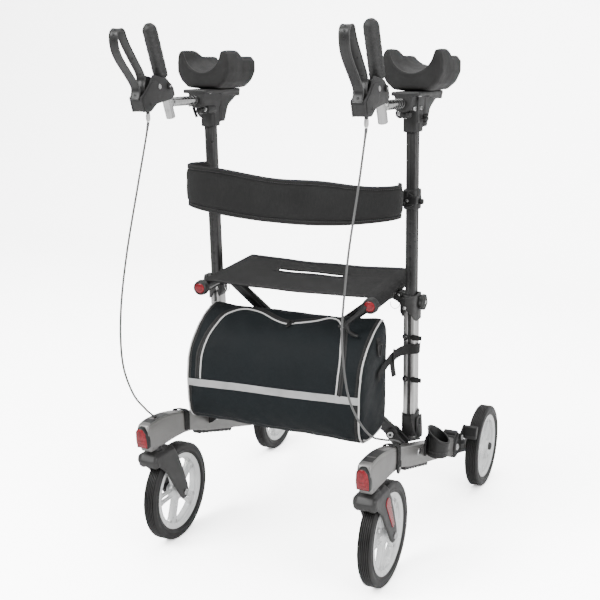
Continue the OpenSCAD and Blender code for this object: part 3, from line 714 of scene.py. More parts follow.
def wheel(name, hub, r, w, bead, body, side, boss, replaces):
    """Grooved tyre and a pale rim with five slotted spokes."""
    at = facing("x", hub)
    h = w / 2
    outer = []
    for g in np.linspace(-h + 5.5, h - 5.5, 6):
        outer += [(r, g - 1.3), (r - 0.5, g - 0.9), (r - 2.0, g - 0.6), (r - 2.0, g + 0.6),
                (r - 0.5, g + 0.9), (r, g + 1.3)]
    low = [(bead - 1.5, -h + 5.5), (bead + 2, -h + 3.2), (bead + 6, -h + 1.6), (bead + 7.5, -h + 0.7),
            (bead + 9, -h + 1.5),
           (r - 9, -h + 0.8), (r - 5.5, -h + 0.6), (r - 2.4, -h + 2.0), (r - 0.6, -h + 4.0)]
    s = Shell().lathe(low + outer + [(q, -z) for q, z in low[::-1]], at, 0, 128, closed=True)
    make(f"{name}_tyre_tread", s, M["tyre"], body, side, replaces[:1], crisp=50)
    s = Shell()
    lip = [(bead - 11, -h + 6), (bead - 9.5, -h + 4.2), (bead - 5, -h + 3.0), (bead - 2, -h + 2.6),
            (bead + 0.6, -h + 3.6), (bead + 1.2, -h + 5.5),
           (bead - 1, -h + 7.5), (bead - 4.5, -h + 8.6)]
    s.lathe(lip + [(bead - 5, 0)] + [(q, -z) for q, z in lip[::-1]] + [(bead - 10.5, h - 9), (bead - 9.5, 0),
            (bead - 10.5, -h + 9)], at, 0, 128, closed=True)
    outline = circle(0, 0, bead - 6, 120)
    holes = []
    for i in range(5):
        mid = 2 * pi * i / 5 + pi / 2
        ri, ro = 25, bead - 13
        gap = lambda q: pi / 5 - (10.5 + 4.5 * max(0, (q - ri) / (ro - ri)) ** 3) / q
        arc = [(ro, gap(ro) * t) for t in np.linspace(-1, 1, 13)]
        back = [(q, gap(q)) for q in np.linspace(ro - 6, ri + 6, 5)] + [(ri,
                gap(ri + 4) * t) for t in np.linspace(0.8, -0.8,
                4)] + [(q, -gap(q)) for q in np.linspace(ri + 6, ro - 6, 5)]
        holes.append(fillet([(q * cos(mid + a), q * sin(mid + a)) for q, a in arc + back], 4, 3))
        mid += pi / 5
        holes.append(slot_hole(bead * 0.53 * cos(mid), bead * 0.53 * sin(mid), bead * 0.42, 4.2, mid))
    s.plate(outline, -4.5, 4.5, "z", holes, 0, at, edge=1.6, steps=4)
    half = boss / 2
    hub_line = [(6, -half), (13, -half), (14.2, -half + 1.2), (14.6, -half + 6), (16, -10), (21.5, -6.5),
            (24.5, -4)]
    s.lathe(hub_line + [(q, -z) for q, z in hub_line[::-1]], at, 0, 64, closed=True)
    for i in range(5):
        a = 2 * pi * i / 5 + pi / 2 + pi / 5
        for q in (-0.17, 0.17):
            s.rod(2.6, 11.5, at @ move((bead - 14) * cos(a + q), (bead - 14) * sin(a + q), -5.75), 1, seg=16)
        for lo, hi in ((-7.6, -6.4), (6.4, 7.6)):
            s.ribbon([(18 * cos(a), 18 * sin(a), 0), ((bead - 10) * cos(a), (bead - 10) * sin(a), 0)],
                    (0, 0, 1),
                     [(-6.3, lo), (-6.3, hi), (6.3, hi), (6.3, lo)], 0, at)
    s.lathe([(5.4, -half - 0.4), (9.5, -half - 0.4), (9.5, half + 0.4), (5.4, half + 0.4)], at, 2, 48,
            closed=True)
    make(f"{name}_spoked_rim", s, [M["rim"], M["steel"], M["black_plastic"]], body, side,
            replaces[1:], crisp=38)


FORK_ARM = [(-337, 226, 7), (-341, 211, 8), (-322, 197, 8), (-300, 178, 22), (-262, 122, 22), (-248, 103, 9),
        (-238, 92, 9), (-224, 93, 9),
            (-216, 104, 9), (-219, 122, 22), (-236, 166, 30), (-252, 200, 30), (-268, 226, 9)]


def caster(name, side):
    """Moulded fork with a domed crown, a beak over the tyre, two arms and a long red lens."""
    body = f"{name}_caster"
    s = Shell()
    x0, y0, z0 = FRONT_HUB
    s.lathe([(0.01, 231.2), (16, 231.2), (18.6, 229.6), (19.6, 226), (20.4, 214), (22.5, 204), (24.4, 197.5),
            (0.01, 197.5)], move(x0, -308, 0), 0, 64)
    head = [(-341, 213, 6), (-338, 201, 5), (-325, 196, 6), (-274, 205, 6), (-258, 214, 8), (-264, 229, 8),
            (-330, 228.5, 12)]
    s.plate(fillet(head, 5), x0 - 20.5, x0 + 20.5, "x", edge=6, steps=4)
    arm = fillet(FORK_ARM, 8, 6)
    for a, b in ((x0 - 24.6, x0 - 18), (x0 + 18, x0 + 24.6)):
        s.plate(arm, a, b, "x", edge=2.6, steps=4)
    for x, y, z, r in ((x0 - 15, -330, 207, 11), (x0 + 15, -330, 207, 11), (x0, -333, 208, 9.5)):
        s.dome(circle(0, 0, r), r * 0.7, 0, facing("-y", (x, y, z)), foot=0.5)
    make(f"{name}_caster_moulding", s, M["grey_plastic"], body, side,
            [f"{name}_caster_fork"], voxel=1.7, melt=9)
    s = Shell()
    s.lathe([(20.15, 222), (20.9, 222.6), (20.9, 224.2), (20.15, 224.8)], move(x0, -308, 0), 0, 64,
            closed=True)
    s.rod(4, 50, facing("x", (x0 - 25, y0, z0)), 1)
    for x in (x0 - 28.4, x0 + 24.4):
        s.rod(7.4, 4, facing("x", (x, y0, z0)), 1, seg=6, edge=0.6)
        s.rod(4.2, 5.2, facing("x", (x - 0.6, y0, z0)), 1, seg=24)
    s.rod(6, 8, move(x0, -308, 229), 1)
    make(f"{name}_caster_axle", s, [M["black_plastic"], M["steel"]], body, side)
    tear = hull(circle(-276, 196, 11, 32) + circle(-245.5, 137, 5.5, 32))
    bent = [(u + 2.2 * sin(pi * max(0, min(1, (w - 131) / 76))), w) for u, w in tear]
    s = Shell().plate(bent, x0 + 24.0, x0 + 26.4, "x", edge=1.3, steps=4)
    make(f"{name}_fork_lens", s, M["reflector"], body, side, [f"{name}_fork_reflector"])


# ---------- side frame ----------

RAIL_TOP = [(-346, 294), (-332, 300), (-300, 301), (-262, 297), (-223, 289), (-173, 274), (-127, 259),
        (-60, 239), (13, 217), (110, 188), (190, 165)]
RAIL = [(-338, 240), (-350, 272)] + RAIL_TOP + [(212, 152), (222, 136), (216, 120), (200, 117), (120, 141),
        (62, 158), (-30, 184),
                                                (-112, 208), (-152, 222), (-187, 232), (-230, 236), (-290,
                                                        236), (-328, 235)]
NOSE = move(248, -350.2, 271) @ turned("X", 98)
D_LENS = [(-12.2, -21.5, 2), (12.2, -21.5, 2), (13.2, -6, 14), (11.5, 13, 9), (4.5, 21.8, 6),
        (-4.5, 21.8, 6), (-11.5, 13, 9), (-13.2, -6, 14)]


def rail(name, side):
    body = f"{name}_frame"
    line = [tuple(p) for p in spline(RAIL, 5, closed=True)]
    line = line if signed_area(line) > 0 else line[::-1]
    s = Shell()
    s.plate(line, 234, 262, "x", edge=4.2, steps=5)
    s.plate(inset(line, 8), 233.4, 262.6, "x", edge=0.5, steps=2)
    make(f"{name}_side_rail", s, M["rail_grey"], body, side, [f"{name}_lower_rail"])

    s = Shell()
    top = spline([(248, y, z - 0.6) for y, z in RAIL_TOP[:5]], 5)
    s.ribbon(top, (1, 0, 0), [(-11.5, -0.6), (-11.5, 1.0), (-9.5, 2.0), (9.5, 2.0), (11.5, 1.0),
            (11.5, -0.6)], 0)
    bezel = fillet([(p[0] * 1.13, p[1] * 1.09, p[2]) for p in D_LENS], 3, 5)
    s.plate(bezel, -9, 3.2, "z", (), 0, NOSE, edge=2.0, steps=4)
    s.lathe([(0.01, 231.6), (14.2, 231.6), (15.2, 232.6), (15.2, 236.5), (13, 239.5), (0.01, 239.5)],
            move(246, -308, 0), 0, 48)
    s.plate(fillet([(184, 117, 6), (200, 112, 8), (218, 115, 9), (227, 136, 10), (218, 158, 10),
            (207, 168, 8), (190, 170, 6), (180, 160, 5)], 6), 232, 264.4, "x", edge=3, steps=4)
    s.rod(11.5, 33, facing("x", (231.6, 205, 166)), 0, edge=3)
    teeth = [(-142, 219)]
    for i in range(9):
        y = -140 + 17 * i
        z = 215.2 - 0.296 * (y + 140)
        teeth += [(y, z - 1.5), (y + 3.5, z - 7.5), (y + 9, z - 8.5), (y + 13, z - 4.5)]
    teeth += [(14, 174), (16, 182)]
    s.plate(teeth, 239, 257, "x", edge=0.8, steps=2)
    y_bar = (-82, -68) if side > 0 else (-98, -84)
    for y in (y_bar[0] - 7, y_bar[1] + 1):
        lug = hull(circle(BAR_FOOT_X, HINGE_Z, 12, 28) + [(199, 254), (223, 258), (236, 248), (236, 222),
                (223, 228)])
        s.plate(lug, y, y + 6, "y", [circle(BAR_FOOT_X, HINGE_Z, 4.1, 20)], edge=1.0)
    make(f"{name}_rail_trim", s, M["black_plastic"], body, side, crisp=40)

    s = Shell().dome(fillet(D_LENS, 3, 5), 4.5, 0, NOSE @ move(0, 0, 2.6), steps=7, foot=0.6)
    make(f"{name}_rail_lens", s, M["reflector"], body, side, [f"{name}_rail_reflector"],
            crisp=60)

    s = Shell()
    loop = [(x, -199, z) for x, z in ((263.6, 232), (263.8, 246), (264.2, 262), (264.2, 276), (263, 283),
            (258, 285.6), (248, 286.2), (238, 285.6), (233, 282), (232.2, 270), (232.2, 250), (232.4, 240))]
    s.ribbon(spline(loop, 4), (0, 1, -0.24), [(-9, -1), (-9.4, 0), (-9, 1), (9, 1), (9.4, 0), (9, -1)], 0)
    s.plate(fillet([(-210, 252, 3), (-211, 236, 7), (-204, 227, 8), (-193, 227, 8), (-187, 236, 7),
            (-188, 252, 3)], 5), 262.8, 266, "x", [circle(-198.5, 235, 3.2, 18)], 0, edge=1.0)
    s.lathe([(3.2, 0), (5.6, 0), (5.6, 1.2), (3.2, 1.2)], facing("x", (265.4, -198.5, 235)), 1, 32,
            closed=True)
    make(f"{name}_rail_strap", s, [M["webbing"], M["steel"]], body, side, crisp=45)


def stay_and_bolts(name, side):
    body = f"{name}_frame"
    s = Shell()
    plate = hull(circle(*REAR_HUB[1:], 14, 40) + circle(*STAY_BOLT, 17, 40))
    s.plate(plate, 262.1, 268.1, "x", [circle(*STAY_BOLT, 4.2, 20)], edge=1.4, steps=3)
    s.plate(hull(circle(*STAY_BOLT, 17, 32) + circle(*BRAKE_PIVOT, 9, 24)), 262.3, 267.9, "x", edge=1.2)
    rib = [(268.6, 222, 133), (268.6, 312, 106.5)]
    s.ribbon(rib, (0, 0.28, 0.96), [(-5, -0.8), (-4.2, 0.6), (4.2, 0.6), (5, -0.8)], 0)
    make(f"{name}_axle_stay", s, M["dark_steel"], body, side, [f"{name}_rear_stay"])
    s = Shell()
    for y, z in ((-70, 226), (72, 184)):
        at = facing("x", (262.3, y, z))
        s.lathe([(4.6, 0), (8.6, 0), (8.6, 0.9), (7.4, 2.2), (4.6, 2.2)], at, 0, 40, closed=True)
        s.rod(4.4, 3.4, at, 1, seg=6, edge=0.7)
        s.rod(6.6, 2.6, facing("-x", (233.6, y, z)), 0, seg=6, edge=0.6)
    s.lathe([(3.6, 0), (8.2, 0), (7.8, 1.6), (6, 2.8), (3.6, 3.2)], facing("x", (268.1, *STAY_BOLT)), 0, 40,
            closed=True)
    s.rod(3.5, 3.8, facing("x", (268.1, *STAY_BOLT)), 0)
    s.rod(8, 3.8, facing("-x", (234, *STAY_BOLT)), 0, seg=6, edge=0.6)
    y0, y1 = (-93, -57) if side > 0 else (-109, -73)
    s.rod(4, y1 - y0, facing("y", (BAR_FOOT_X, y0, HINGE_Z)), 0)
    for y, ax in ((y0 + 3.9, "-y"), (y1 - 3.9, "y")):
        s.rod(7, 3.9, facing(ax, (BAR_FOOT_X, y, HINGE_Z)), 0, seg=24, edge=1.4)
    s.rod(5, 48, facing("x", (262.1, *REAR_HUB[1:])), 0)
    s.rod(9, 2.8, facing("x", (268.2, *REAR_HUB[1:])), 0, seg=6, edge=0.5)
    s.rod(3, 13, facing("x", (262.1, *BRAKE_PIVOT)), 0)
    s.lathe([(0.01, 6.2), (5, 6.2), (8.4, 5.2), (10, 3.2), (10, 0), (0.01, 0)],
            facing("x", (307.8, *REAR_HUB[1:])), 1, 6)
    make(f"{name}_bolts", s, [M["steel"], M["black_plastic"]], body, side, [f"{name}_frame_bolts"],
            crisp=30)


def posts(name, side):
    body = f"{name}_frame"
    top = lambda x, y: (5 + 7 * math.exp(-((x - 17) / 14) ** 2 - ((y - 6) / 16) ** 2)
                        - 3 * math.exp(-((x + 4) / 9) ** 2 - ((y + 18) / 10) ** 2))
    s = Shell()
    s.sleeve((34, 36, 11), (27.4, 28.4, 8), -44, top, 0, POST, edge=1.6)
    s.plate(fillet([(-58, 303, 6), (-24, 300, 6), (-16, 252, 14), (22, 224, 8), (26, 214, 4), (-28, 230, 4),
            (-58, 238, 6)], 5), 219, 233.8, "x", edge=2.2, steps=3)
    s.plate(fillet([(-57, 296, 6), (-26, 296, 6), (-20, 262, 12), (-18, 240, 5), (-56, 250, 6)], 5), 248.6,
            252.2, "x", edge=1.4)
    s.ribbon([(241, -61.5, 302), (243, -62.5, 285), (249, -60.5, 262), (252, -56, 249)], (0.9, 0.4, 0.1),
            [(-1.4, -1), (-1.4, 1), (1.4, 1), (1.4, -1)], 0)
    s.rod(7, 4, facing("x", (250.5, -38, 283)), 0, edge=1.4)
    make(f"{name}_post_boot", s, M["black_plastic"], body, side, [f"{name}_post_socket"],
            crisp=40)

    ring = fillet([(-13.5, -14, 7.5), (-4, -14, 0.4), (-3.2, -12.8, 0.3), (3.2, -12.8, 0.3), (4, -14, 0.4),
            (13.5, -14, 7.5), (13.5, -2.2, 0.3), (13.0, -1.2, 0.3),
                   (13.0, 1.2, 0.3), (13.5, 2.2, 0.3), (13.5, 14, 7.5), (-13.5, 14, 7.5)], 1, 6)
    s = Shell().plate(ring, -47.5, 242.5, "z", [super_rect(22.6, 23.6, 5.9, 6)], 0, POST, edge=0.4, steps=2)
    s.ribbon([(0, -12.95, -40), (0, -12.95, 236)], (1, 0, 0), [(-3.1, -0.2), (-3.1, 0.2), (3.1, 0.2),
            (3.1, -0.2)], 1, POST)
    make(f"{name}_lower_post", s, [M["silver_tube"], M["black_plastic"]], body, side,
            [f"{name}_outer_post"], crisp=32)

    s = Shell()
    for t in (177, 84):
        at = POST @ facing("-y", (-7.5, -14, t))
        s.rod(6.6, 3.4, at, 0, edge=1.2)
        s.lathe([(2.0, 3.2), (3.8, 3.2), (3.4, 4.6), (2.0, 4.6)], at, 1, 24, closed=True)
        s.rod(1.9, 3.9, at, 0, seg=6)
        s.plate(fillet([(-28, -4.5, 2), (-7.5, -6.6, 6), (-2, 0, 4), (-7.5, 6.6, 6), (-28, 5, 2)], 3), 0,
                1.6, "z", (), 0, at @ move(7.5, 0, 0) @ turned("Y", 180) @ move(0, 0, -1.8), edge=0.5)
    make(f"{name}_post_studs", s, [M["black_plastic"], M["steel"]], body, side, crisp=40)

    step = lambda x, a, b: 0.5 - 0.5 * cos(pi * max(0, min(1, (x - a) / (b - a))))
    low = lambda x, y: 236 - 23 * step(x, -5, 16)
    high = lambda x, y: 262 + 8 * step(x, -14, 16) - 2.5 * step(-y, 0, 16)
    s = Shell()
    s.sleeve((36.5, 38.5, 12), (27.4, 28.4, 8), low, high, 0, POST, edge=1.8)
    s.sleeve((31, 32, 9), (22.8, 23.8, 6), 240, 266, 0, POST, edge=1)
    s.plate(fillet([(-12, 218, 3), (-6, 236, 6), (-6, 262, 4), (-18, 262, 4), (-19, 232, 4)], 3), -19.2, 10,
            "y", (), 1, POST, edge=1.5)
    s.lathe([(0.01, 3), (2.6, 2.6), (4.0, 1.2), (4.3, 0), (0.01, 0)], POST @ facing("-y", (-9, -19.0, 240)),
            2, 28)
    arc = [(194 + 20 * cos(a), 572.5 + 20 * sin(a)) for a in np.linspace(radians(182), radians(330), 18)]
    core = [(194 + 15.4 * cos(a), 573.5 + 15.4 * sin(a)) for a in np.linspace(radians(330), radians(182),
            18)]
    s.plate(arc + [(220, 553), (221, 566), (212, 568)] + core, -62, -38, "y", (), 1, edge=1.2)
    s.rod(8.5, 26, facing("y", (206, -63, 560)), 1, edge=2)
    s.rod(4.5, 3, facing("-y", (206, -62.5, 560)), 2, edge=1)
    s.plate(fillet([(186, 556, 4), (204, 548, 5), (216, 540, 4), (219, 552, 3), (206, 562, 4),
            (190, 566, 4)], 4), -66, -61.5, "y", (), 1, edge=1)
    make(f"{name}_post_collar", s, [M["grey_plastic"], M["black_plastic"], M["steel"]], body, side,
            [f"{name}_height_collar"], crisp=40)
    s = Shell().tube([(201 - 9 * sin(a), -66 - 4 * sin(a), 549 - 11 * cos(a) - 6) for a in np.linspace(-1.9,
            1.9, 22)], 0.7, 0, 8)
    make(f"{name}_safety_wire", s, M["steel"], body, side)

    s = Shell()
    wave = lambda a: 1 + 0.085 * cos(5 * a)
    s.lathe([(0.01, 4.5), (5, 5), (12, 3.5), (14.6, 5.4), (15.9, 8.2), (16.0, 12), (14.8, 15.4), (11, 17.4),
            (7, 17.8), (5.4, 16.2), (0.01, 16.0)],
            POST @ facing("x", (14.0, 0, 252)), 0, 90, wave=wave)
    s.rod(4, 8, POST @ facing("x", (12.4, 0, 252)), 1)
    s.rod(4.6, 2.2, POST @ facing("x", (29.6, 0, 252)), 1, edge=1.0)
    make(f"{name}_height_handwheel", s, [M["black_plastic"], M["steel"]], f"{name}_height_knob", side,
            [f"{name}_height_knob"], crisp=50)


def brake_arm(name, side):
    s = Shell()
    s.plate(fillet([(206, 160, 8), (208, 170, 6), (236, 185, 8), (250, 178, 6), (243, 158, 10),
            (232, 150, 6), (214, 150, 8)], 5), 268.6, 272.6, "x", [circle(*BRAKE_PIVOT, 3.1, 16)], 0,
            edge=1.2)
    shoe = [(224, 162, 3), (232, 181, 4), (240, 183, 4), (246, 178.2, 2), (240.6, 163, 1), (237.4, 152, 2),
            (228, 152, 3)]
    s.plate(fillet(shoe, 2, 4), 272.4, 303.5, "x", edge=1.6)
    for x in range(277, 302, 6):
        s.plate([(238.2, 154), (246.6, 177.6), (245.6, 178), (237, 154.6)], x, x + 2.6, "x", edge=0.4)
    s.rod(6.5, 3.4, facing("x", (272.4, *BRAKE_PIVOT)), 1, edge=1)
    make(f"{name}_brake_shoe", s, [M["black_plastic"], M["steel"]], f"{name}_brake_arm", side,
            [f"{name}_brake_arm"])


# ---------- sliding upper frame ----------

def upper(name, side):
    body = f"{name}_upper_frame"
    half = fillet([(-11, -11.5, 5.6), (-1.6, -11.5, 0.3), (-1.2, -10.7, 0.2), (1.2, -10.7, 0.2),
            (1.6, -11.5, 0.3), (11, -11.5, 5.6), (11, -1.6, 0.3), (10.2, -1.2, 0.2),
                   (10.2, 1.2, 0.2), (11, 1.6, 0.3), (11, 11.5, 5.6), (-11, 11.5, 5.6)], 1, 6)
    s = Shell().plate(half, 66, 639.5, "z", [super_rect(18, 19, 3.6, 6)], 0, POST, edge=0.4, steps=2)
    for t in range(295, 421, 25):
        s.lathe([(0.01, 0.25), (2.5, 0.25), (3.4, 0.5), (3.9, 0.15), (3.9, -0.5), (0.01, -0.5)],
                POST @ facing("-y", (0, -11.5, t)), 1, 24)
    make(f"{name}_upper_post", s, [M["black_tube"], M["black_plastic"]], body, side,
            [f"{name}_inner_post"], crisp=32)

    s = Shell()
    s.sleeve((34, 36, 10), (22.2, 23.2, 5.6), 600, 645, 0, POST, edge=1.5)
    s.rod(17.5, 92, facing("y", (230, -128, 954)), 0, edge=2.5, seg=40)
    s.plate(fillet([(213.5, 940, 4), (250, 940, 6), (251, 968, 2), (213, 968, 2)], 4), -126, -40, "y",
            edge=2)
    s.plate(fillet([(205.5, -128, 7), (264.5, -128, 7), (264.5, 25, 9), (205.5, 25, 9)], 6), 967.8, 975.8,
            "z", edge=2)
    web = [(-54, 906, 3), (-38, 906, 4), (-22, 940, 26), (22, 962, 8), (25, 970, 2), (-54, 970, 2)]
    for a, b in ((212.5, 219), (245.4, 251.6)):
        s.plate(fillet(web, 4, 6), a, b, "x", edge=1.8)
    s.plate(fillet([(-60, 966, 3), (24, 958, 4), (24, 969, 2), (-60, 970, 2)], 3), 208, 262, "x", edge=2)
    make(f"{name}_armrest_casting", s, M["cast_grey"], body, side, [f"{name}_armrest_bracket"],
            voxel=1.6, melt=4)

    s = Shell()
    s.rod(9.6, 34, facing("-y", (219, -76, 934)), 0, edge=2)
    s.rod(5, 3, facing("-y", (219, -109.5, 934)), 1, edge=1)
    s.ribbon(spline([(252.5, -96, 968), (254, -101, 952), (253.6, -100, 935), (251.6, -92, 916)], 5),
            (0, 1, 0.1), [(-4, -1.2), (-4, 1.2), (4, 1.2), (4, -1.2)], 0)
    for y, z in ((-118, 944), (-82, 944)):
        s.rod(4.6, 3.4, facing("x", (251, y, z)), 1, edge=1.0)
        s.rod(2.4, 4.0, facing("x", (251, y, z)), 0, seg=6)
    star = lambda a: 1 + 0.2 * cos(5 * a)
    s.lathe([(0.01, 0), (5.5, 0.4), (8, 2.4), (8.2, 7), (6.4, 10), (0.01, 11)],
            facing("x", (251.5, -66, 924)), 0, 60, wave=star)
    for x, y in ((215, -100), (255, -100), (215, 0), (255, 0)):
        s.rod(4.4, 2.4, facing("-z", (x, y, 968.4)), 1, edge=0.8, seg=24)
    make(f"{name}_armrest_fittings", s, [M["black_plastic"], M["steel"]], body, side,
            crisp=42)

    s = Shell()
    s.sleeve((32, 33, 10), (22.2, 23.2, 5.6), 446, 486, 0, POST, edge=1.4)
    s.sleeve((33.4, 34.4, 10.5), (30, 31, 9.5), 462, 470, 0, POST, edge=0.8)
    disc = [circle(230 + 8.6 * cos(a), 762 + 8.6 * sin(a), 2.3, 14) for a in (pi / 4, 3 * pi / 4, 5 * pi / 4,
            7 * pi / 4)]
    s.plate(circle(230, 762, 14.8, 48), -87.5, -82.5, "y", disc, 0, edge=1.3)
    s.rod(6.2, 24, facing("y", (230, -89.5, 762)), 0, edge=1.6)
    s.plate(fillet([(228, 753, 3), (250, 755, 3), (251, 771, 3), (228, 771, 3)], 3), -90, -76, "y", edge=1.8)
    s.plate(fillet([(-111, 759, 3), (-83, 759, 2), (-83, 781, 2), (-111, 781, 3)], 3), 207.6, 211.4, "x",
            edge=1.0)
    s.plate(fillet([(208, 759, 2), (232, 759, 2), (232, 781, 2), (208, 781, 2)], 3), -89.8, -84.2, "y",
            edge=1.0)
    s.rod(5.4, 9, POST @ facing("x", (15.4, -3, 462)), 0, edge=1.6, seg=48,
            wave=lambda a: 1 + 0.1 * cos(6 * a))
    for z in (764, 776):
        s.rod(2.6, 1.4, facing("-x", (207.8, -100, z)), 1, edge=0.6, seg=20)
    s.rod(3.4, 1.6, facing("-y", (230, -89.2, 762)), 1, edge=0.8, seg=24)
    make(f"{name}_backrest_clamp", s, [M["black_plastic"], M["steel"]], body, side,
            [f"{name}_backrest_bracket"], crisp=42)


def forearm_pad(name, side):
    """Moulded trough: high wings at the front, lower behind, and a soft lip all round."""
    rows = []
    for y in (-95, -94, -88, -70, -50, -38, -30, -24, -18, -12, 0, 18, 29, 34, 35):
        t = max(0, min(1, (y + 36) / 24))
        drop = 12 * (t * t * (3 - 2 * t))
        top = 1056 - drop + 1.5 * sin(pi * (y + 95) / 60) * (1 - t)
        end = 1 - 0.04 * max(0, (-90 - y) / 5) ** 2 - 0.04 * max(0, (y - 28) / 7) ** 2
        low = 976 + 6 * max(0, (y - 20) / 15) ** 2 + 5 * max(0, (-80 - y) / 15) ** 1.5
        wide = 62 * end
        axis = 1056 + 0.1139 * (y + 95)
        lean = math.sqrt(47 ** 2 - (axis - top + 5) ** 2)
        dish = [(lean * k, axis - math.sqrt(47 ** 2 - (lean * k) ** 2)) for k in (0.98, 0.93, 0.86, 0.76,
                0.62, 0.44, 0.22, 0)]
        half = [(0, low), (20, low), (38 * end, low + 1), (53 * end, low + 14), (wide, 1012),
                (wide - 0.4, 1034), (wide - 3, top - 8), (wide - 8, top - 1),
                ((lean + wide) / 2 - 2, top), (lean + 2, top - 1.6)] + dish
        rows.append([(235 + x, y, z) for x, z in half] + [(235 - x, y, z) for x, z in half[-2:0:-1]])
        if y == -95:
            lip = [(235 - x, y + 1.2, z - 0.6) for x, z in half[9:]] + [(235 + x, y + 1.2, z - 0.6) for x,
                    z in half[-2:8:-1]]
    s = Shell().loft(rows)
    s.tube(lip, 2.6, 0, 12)
    pad = make(f"{name}_armrest_pad", s, M["pad_grey"], f"{name}_upper_frame", side,
               [f"{name}_forearm_pad"], voxel=2.0, melt=9)


# ---------- handle ----------

HOUSING = [(-307, 1009, 3), (-258, 1001, 5), (-236, 984, 8), (-230, 968, 4), (-246, 960, 5), (-296, 953, 16),
        (-317, 939, 3), (-343, 939, 3), (-352, 967, 2),
           (-338, 976, 7), (-322, 990, 10)]
LEVER = [(-352, 966), (-348, 980), (-352, 991), (-372, 1012), (-394, 1034), (-407, 1052), (-412, 1072),
        (-410, 1086), (-400, 1093), (-390, 1090),
         (-385, 1080), (-374, 1063), (-352, 1036), (-333, 1013), (-329, 1000), (-333, 984), (-328,
                 966), (-319, 955)]


